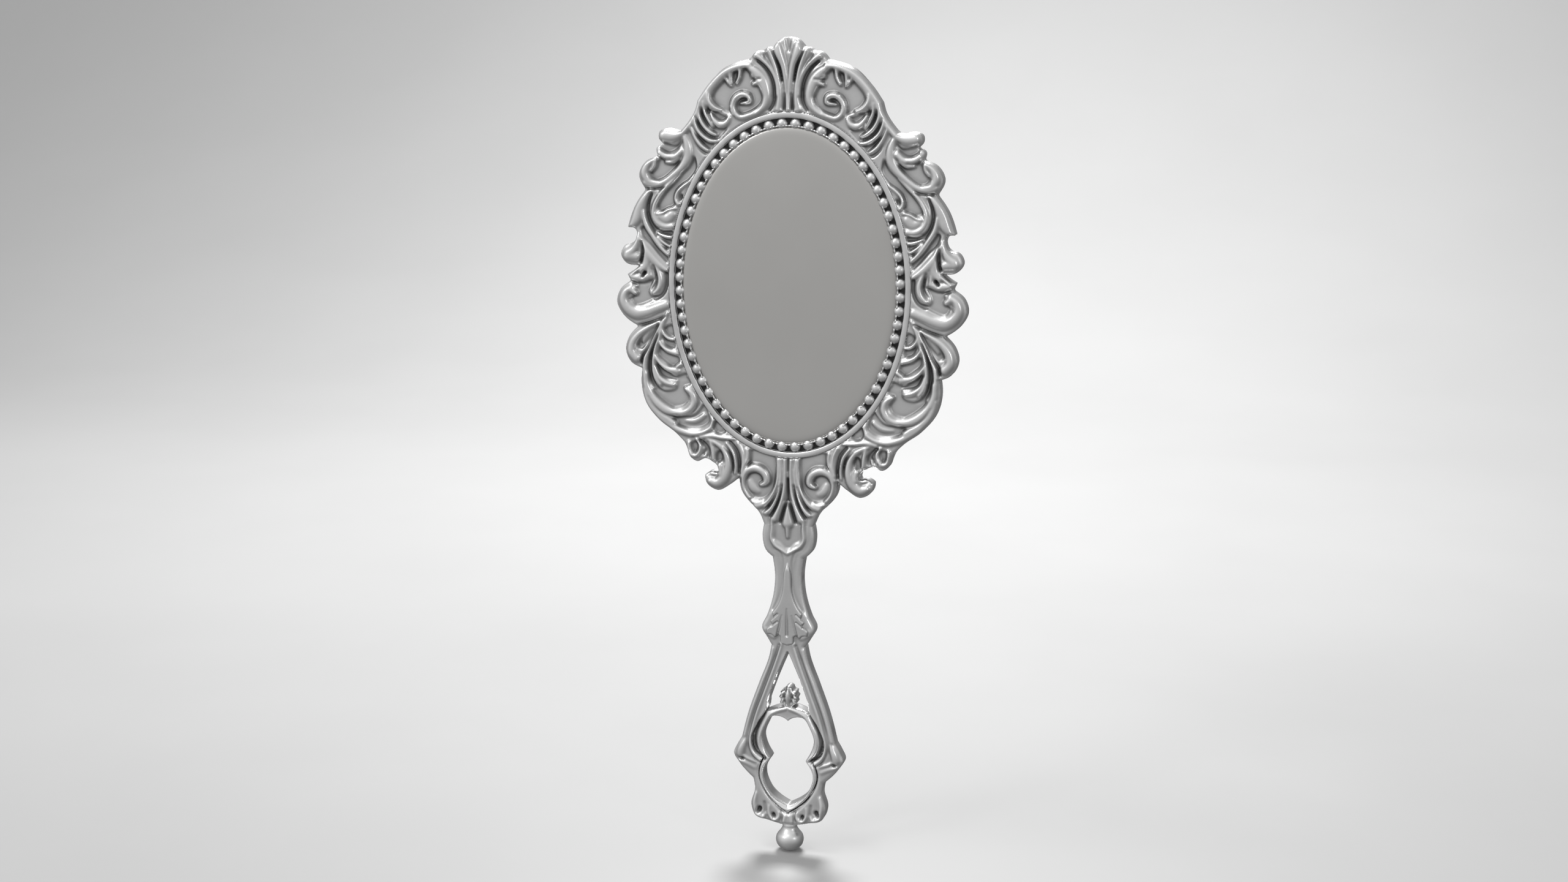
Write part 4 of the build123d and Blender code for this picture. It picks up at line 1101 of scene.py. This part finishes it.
def with_seats(sheet):
    """Levels the relief of a back round the rivets, and round the back plate's flange."""
    x, z = sheet.x[None, :], sheet.z[:, None]
    for height in RIVETS:
        flat = ease(np.hypot(x, z - height), *RIVET_LAND)
        sheet.height = sheet.height + (SEAT - sheet.height) * flat
    flat = ease(sheet.oval(FLANGE), LAND_WIDE + LAND_SLOPE, LAND_WIDE)
    return sheet.height + (SEAT - sheet.height) * flat * (z > JOINT_Z)


back = relief(BACK_STEP)
back.height = with_seats(back)
solid = np.minimum(np.minimum(back.gap, back.oval(CHANNEL)), back.z[:, None] - JOINT_Z)
patch = cut(back, solid).doubled().eased()
show(standing("head_frame", patch, BACK + BACK_SHARE * lift(patch), FRONT, patch.table[:, 6]),
     SILVER, "cast_silver", "head_frame")


def add_handle(name, sheet, solid, seats=False):
    """A piece of the handle, with relief on both faces and, if asked, a level seat for a rivet."""
    patch = cut(sheet, solid).doubled().eased()
    height = lift(patch)
    rear = height
    if seats:
        flat = ease(np.hypot(patch.table[:, 0], patch.table[:, 1] - RIVETS[0]), *RIVET_LAND)
        rear = height + (SEAT - height) * flat
    piece = two_sided(name, patch, FRONT - height, BACK + BACK_SHARE * rear, patch.table[:, 6])
    return show(piece, SILVER, "cast_silver", name)


z = front.z[:, None]
body = np.minimum(front.gap, front.hole)
leaf_gap = front.signed(outline_of(LEAF_SIDE))
add_handle("handle_collar", front, np.minimum(body, np.minimum(JOINT_Z - z, z - STEM_TOP_Z)), seats=True)
add_handle("handle_stem", front, np.minimum(body, np.minimum(STEM_TOP_Z - z, z - STEM_FOOT_Z)))
add_handle("handle_loop", front, np.minimum(body, STEM_FOOT_Z - z))

LEAF_ROUND = 0.7                                # width of the rounding along the leaf's edge
LEAF_FADE = (101.5, 98)                         # z over which the leaf's tip rises out of the stem
LEAF_INSET = 0.4                                # least distance of the leaf from the silhouette
LEAF_ROOT = 0.3                                 # how deep the leaf's underside lies in the stem
LEAF_LIFT = 1.0                                # height of the leaf over the stem
LEAF = {
    "fields": [],
    "ridges": [],
    "grooves": [
        ([(0, 85), (0, 80), (0, 76)], [0.4, 0.6, 0.6], [0.15, 0.5, 0.55]),
        ([(1.7, 82.8), (2.6, 78.8), (3.3, 75.8)], [0.4, 0.55, 0.55], [0.1, 0.45, 0.6]),
        ([(3.2, 83.2), (4.9, 81.6)], [0.4], [0.4]),
        ([(3.2, 80.6), (5.2, 79)], [0.4], [0.4]),
    ],
}
leaf_height = front.height + LEAF_LIFT * rounding(leaf_gap.clip(0), LEAF_ROUND) * ease(z, *LEAF_FADE)
keep, front.height = front.height, leaf_height
front.carve(LEAF)
patch = cut(front, np.minimum(leaf_gap, front.gap - LEAF_INSET)).doubled().eased()
show(standing("stem_leaf", patch, FRONT - lift(patch), FRONT - LEAF_ROOT, patch.table[:, 6]),
     SILVER, "cast_silver", "stem_leaf")
front.height = keep

# the cusped ring and the bud, on a sheet of their own
LACE_FLOOR = -1.3                               # lowest that a groove cuts in the ring
RING_BODY, RING_ROUND = 1.45, 0.5               # height of the ring's body, and its edge's rounding
BUD_BODY, BUD_ROUND = 1.2, 1.0                  # the same of the bud
NO_HOLE = 9.0                                   # distance that stands for an opening too far off to matter
lace = Sheet(0, 14, 12, 61)
ring_out, ring_in = lace.signed(outline_of(TRACERY_OUT)), -lace.signed(outline_of(TRACERY_IN))
solid = np.minimum(ring_out, ring_in)
lace.height += RING_BODY
lace.carve(TRACERY)
lace.height = blurred(lace.height, SOFTENING).clip(LACE_FLOOR)
lace.gap, lace.hole = ring_out, ring_in
lace.wide = np.full(lace.height.shape, RING_ROUND)
ground = np.where(solid > 0, lace.height, OPEN_AIR)
lace.cavity = cavity_of(ground)
add_handle("tracery_ring", lace, solid)

bud_gap = lace.signed(outline_of([BUD_SIDE]))
lace.height = np.full(lace.height.shape, BUD_BODY)
lace.carve(BUD)
lace.height = blurred(lace.height, SOFTENING)
lace.gap, lace.hole = bud_gap, np.full(bud_gap.shape, NO_HOLE)
lace.wide = np.full(bud_gap.shape, BUD_ROUND)
ground = np.where(bud_gap > 0, lace.height, OPEN_AIR)
lace.cavity = cavity_of(ground)
add_handle("bud_finial", lace, bud_gap)

POMMEL_SIDE = [
    (2.0, LOOP_FOOT_Z + 0.6), (2.5, LOOP_FOOT_Z - 0.6), (2.5, 8.2), (3.3, 6.7), (4.4, 5.2), (4.7, 3.7),
    (4.2, 1.9), (2.7, 0.5), (0, 0),
]
show(lathe("pommel", POMMEL_SIDE), BAND, "cast_silver", "pommel")

# ---- the oval: bezel, beads, rim, glass and back plate ----
BEZEL_FRONT = low("bezel_ring").y
BAND_WIDE = high("bezel_ring").x - CHANNEL[0] - 0.1
BEAD_SEAT = low("bead_channel").y
BEAD_TOP = low("pearl_beads").y
BEAD_COUNT = 64
BEAD_LINE = (36.3, 52.0)
RIM_FRONT = low("glass_rim").y
RIM_WIDE = RIM_OUT[0] - GLASS[0]
GLASS_FRONT = low("mirror_glass").y
PAD_Y = high("mirror_glass").y

show(oval_band("bezel_ring", BEZEL_OUT, lambda turn: [
    (0, FRONT), (0, BEZEL_FRONT + 0.35), (0.12, BEZEL_FRONT + 0.1), (0.35, BEZEL_FRONT),
    (0.95, BEZEL_FRONT - 0.05),
    (BAND_WIDE - 0.35, BEZEL_FRONT), (BAND_WIDE - 0.12, BEZEL_FRONT + 0.1), (BAND_WIDE, BEZEL_FRONT + 0.35),
    (BAND_WIDE, FRONT)], 320), BAND, "bezel_silver", "bezel_ring")

ROPE_TURNS = 216


def rope_section(turn):
    """The rim round the glass: a thin wall with a notched, rope-like edge."""
    swell = abs(math.sin(math.pi * ROPE_TURNS * turn))
    lip = RIM_FRONT + 0.28 * (1 - swell)
    return [(0, PAD_Y), (0, lip + 0.35), (0.08 - 0.08 * swell, lip + 0.15), (0.3, lip),
            (RIM_WIDE - 0.1, lip + 0.12), (RIM_WIDE, lip + 0.4), (RIM_WIDE, PAD_Y)]


show(oval_band("glass_rim", RIM_OUT, rope_section, ROPE_TURNS * 6), BAND, "bezel_silver", "glass_rim")

share = np.linspace(0, math.tau, 7201)
path = np.column_stack([BEAD_LINE[0] * np.cos(share), BEAD_LINE[1] * np.sin(share)])
travel = np.append(0, np.linalg.norm(np.diff(path, axis=0), axis=1).cumsum())
points, faces = [], []
BEAD_SIDES, BEAD_ROWS = 28, 9
for number in range(BEAD_COUNT):
    length = travel[-1] * (number + 0.5) / BEAD_COUNT
    bx, bz = np.interp(length, travel, path[:, 0]), np.interp(length, travel, path[:, 1]) + OVAL_Z
    radius = BEAD_SEAT - BEAD_TOP
    first = len(points)
    for row in range(BEAD_ROWS):
        rise = math.pi / 2 * row / BEAD_ROWS
        points += [(bx + radius * math.cos(rise) * math.cos(t), BEAD_SEAT - radius * math.sin(rise),
                    bz + radius * math.cos(rise) * math.sin(t))
                   for t in np.linspace(0, math.tau, BEAD_SIDES, endpoint=False)]
    points.append((bx, BEAD_TOP, bz))
    for row in range(BEAD_ROWS - 1):
        a = first + row * BEAD_SIDES
        faces += [[a + k, a + (k + 1) % BEAD_SIDES, a + BEAD_SIDES + (k + 1) % BEAD_SIDES, a + BEAD_SIDES + k]
                  for k in range(BEAD_SIDES)]
    a = first + (BEAD_ROWS - 1) * BEAD_SIDES
    faces += [[a + k, a + (k + 1) % BEAD_SIDES, len(points) - 1] for k in range(BEAD_SIDES)]
    faces.append([first + k for k in reversed(range(BEAD_SIDES))])
show(add_mesh("pearl_beads", points, padded(faces, BEAD_SIDES)), PEARL, "bezel_silver", "pearl_beads")

# the glass front: distance in from its edge, and how far it lies behind the glass plane
PILLOW = [(0.0, 0.55), (0.15, 0.36), (0.45, 0.2), (0.9, 0.1), (1.6, 0.03), (2.6, 0.0), (6, -0.03),
          (14, -0.06)]
rings = [(0, 0, PAD_Y), (GLASS[0], GLASS[1], PAD_Y)]
rings += [(GLASS[0] - inset, GLASS[1] - inset, GLASS_FRONT + drop) for inset, drop in PILLOW]
rings += [(GLASS[0] * s, GLASS[1] * s, GLASS_FRONT - 0.06 - 0.03 * (1 - s)) for s in (0.45, 0.3, 0.15)]
rings += [(0, 0, GLASS_FRONT - 0.09)]
show(oval_disc("mirror_glass", rings), MIRROR, "glass", "mirror_glass")

FLANGE_FRONT = HEAD_BACK
FLANGE_REAR = high("back_plate").y - 0.4
DOME_REAR = high("back_plate").y
PLUG_Y = low("back_plate").y
plate = [(0, 0, PLUG_Y), (CHANNEL[0], CHANNEL[1], PLUG_Y), (CHANNEL[0], CHANNEL[1], FLANGE_FRONT),
         (FLANGE[0], FLANGE[1], FLANGE_FRONT)]
# the back plate: distance in from its edge, and how far it lies in front of the flange plane
STEPS = [
    (0, 0.25), (0.1, 0.1), (0.3, 0), (3.4, 0), (3.6, 0.25), (3.9, 0.3), (4.2, 0.25), (4.4, 0),
    (4.8, -0.1), (5.6, -0.12), (6.4, -0.1), (6.8, 0), (7, 0.2), (7.3, 0.25), (7.6, 0.15),
    (7.9, -0.1), (8.4, -0.22), (9.4, -0.27), (12, -0.31), (18, -0.36),
]
plate += [(FLANGE[0] - inset, FLANGE[1] - inset, FLANGE_REAR - drop) for inset, drop in STEPS]
plate += [(FLANGE[0] * s, FLANGE[1] * s, DOME_REAR - 0.03 * s) for s in (0.45, 0.3, 0.15)]
plate += [(0, 0, DOME_REAR)]
show(oval_disc("back_plate", plate), BAND, "cast_silver", "back_plate")

# pieces kept as the CAD has them
for name, finish in (("bead_channel", CHANNEL_SHADE), ("glass_pad", FELT), ("backing_board", BOARD),
                     ("handle_tang", STEEL), ("tang_rivets", STEEL), ("pommel_stud", STEEL),
                     ("back_plate_screws", STEEL)):
    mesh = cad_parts[name].data
    mesh.materials.clear()
    mesh.materials.append(finish)

# ---- camera, floor and light ----
LENS, SENSOR = 50.17, 36                        # millimetres
CAMERA_PLACE = (0.1726, -0.6758, 0.2803)        # metres
LOOK_DOWN, TURN = 11.33, 14.49                  # degrees
camera = bpy.data.objects.new("camera", bpy.data.cameras.new("camera"))
bpy.context.scene.collection.objects.link(camera)
camera.data.lens = LENS
camera.data.sensor_width = SENSOR
camera.location = CAMERA_PLACE
camera.rotation_euler = (math.radians(90 - LOOK_DOWN), 0, math.radians(TURN))
bpy.context.scene.camera = camera

# a sweep: floor, a wide bend and a wall behind, all pale
SWEEP = [(-2.6, 0.0), (0.7, 0.0)] + [(0.7 + 0.9 * math.sin(t), 0.9 - 0.9 * math.cos(t))
                                     for t in np.linspace(0.1, math.pi / 2, 16)] + [(1.6, 3.2)]
points = [(x / MM, y / MM, z / MM) for y, z in SWEEP for x in (-3.4, 3.4)]
faces = [[2 * i, 2 * i + 1, 2 * i + 3, 2 * i + 2] for i in range(len(SWEEP) - 1)]
sweep = add_mesh("sweep", points, padded(faces))
paper = finish_of("paper", [(0.3, 0.33), (0.7, 0.34)], 0.0, 1.0, (0.42, 0.5), 0.0, 0.02, 40, False)
sweep.data.materials.append(paper)
sweep.visible_glossy = False                    # the metal mirrors the room, not the sweep


def add_light(name, place, aim, size, power):
    """A rectangular lamp, aimed at a point and not seen by the camera."""
    lamp = bpy.data.lights.new(name, "AREA")
    lamp.shape = "RECTANGLE"
    lamp.size, lamp.size_y = size
    lamp.energy = power
    thing = bpy.data.objects.new(name, lamp)
    bpy.context.scene.collection.objects.link(thing)
    thing.location = place
    thing.rotation_euler = (Vector(aim) - Vector(place)).to_track_quat("-Z", "Y").to_euler()
    thing.visible_camera = False


MIDDLE = (0, 0, 0.17)
add_light("top", (-0.25, -0.25, 1.0), MIDDLE, (0.36, 0.22), 2.4)
add_light("key", (-0.8, -0.9, 0.9), MIDDLE, (0.25, 0.25), 2.2)
add_light("side", (0.9, -0.6, 0.5), MIDDLE, (0.14, 0.4), 0.9)
add_light("glow", (-0.12, 0.62, 0.85), (-0.12, 0.62, 0), (0.4, 0.4), 17)
world = bpy.data.worlds.new("studio")
bpy.context.scene.world = world
world.use_nodes = True
nodes, links = world.node_tree.nodes, world.node_tree.links
way = nodes.new("ShaderNodeTexCoord")
axes = nodes.new("ShaderNodeSeparateXYZ")
links.new(way.outputs["Generated"], axes.inputs[0])
total = None
# share of the light left towards each end of each axis: left and right, front and back, floor and sky
for axis, (first, last) in (("X", (1.1, 0.75)), ("Y", (1.0, 0.45)), ("Z", (0.35, 1.05))):
    fade = nodes.new("ShaderNodeMapRange")
    fade.interpolation_type = "SMOOTHSTEP"
    fade.inputs["From Min"].default_value, fade.inputs["From Max"].default_value = -0.9, 0.9
    fade.inputs["To Min"].default_value, fade.inputs["To Max"].default_value = first, last
    links.new(axes.outputs[axis], fade.inputs["Value"])
    if total is None:
        total = fade.outputs["Result"]
        continue
    product = nodes.new("ShaderNodeMath")
    product.operation = "MULTIPLY"
    links.new(total, product.inputs[0])
    links.new(fade.outputs["Result"], product.inputs[1])
    total = product.outputs[0]
links.new(total, nodes["Background"].inputs["Color"])
nodes["Background"].inputs["Strength"].default_value = 1.1
bpy.context.scene.view_settings.view_transform = "Standard"

bpy.context.view_layer.update()
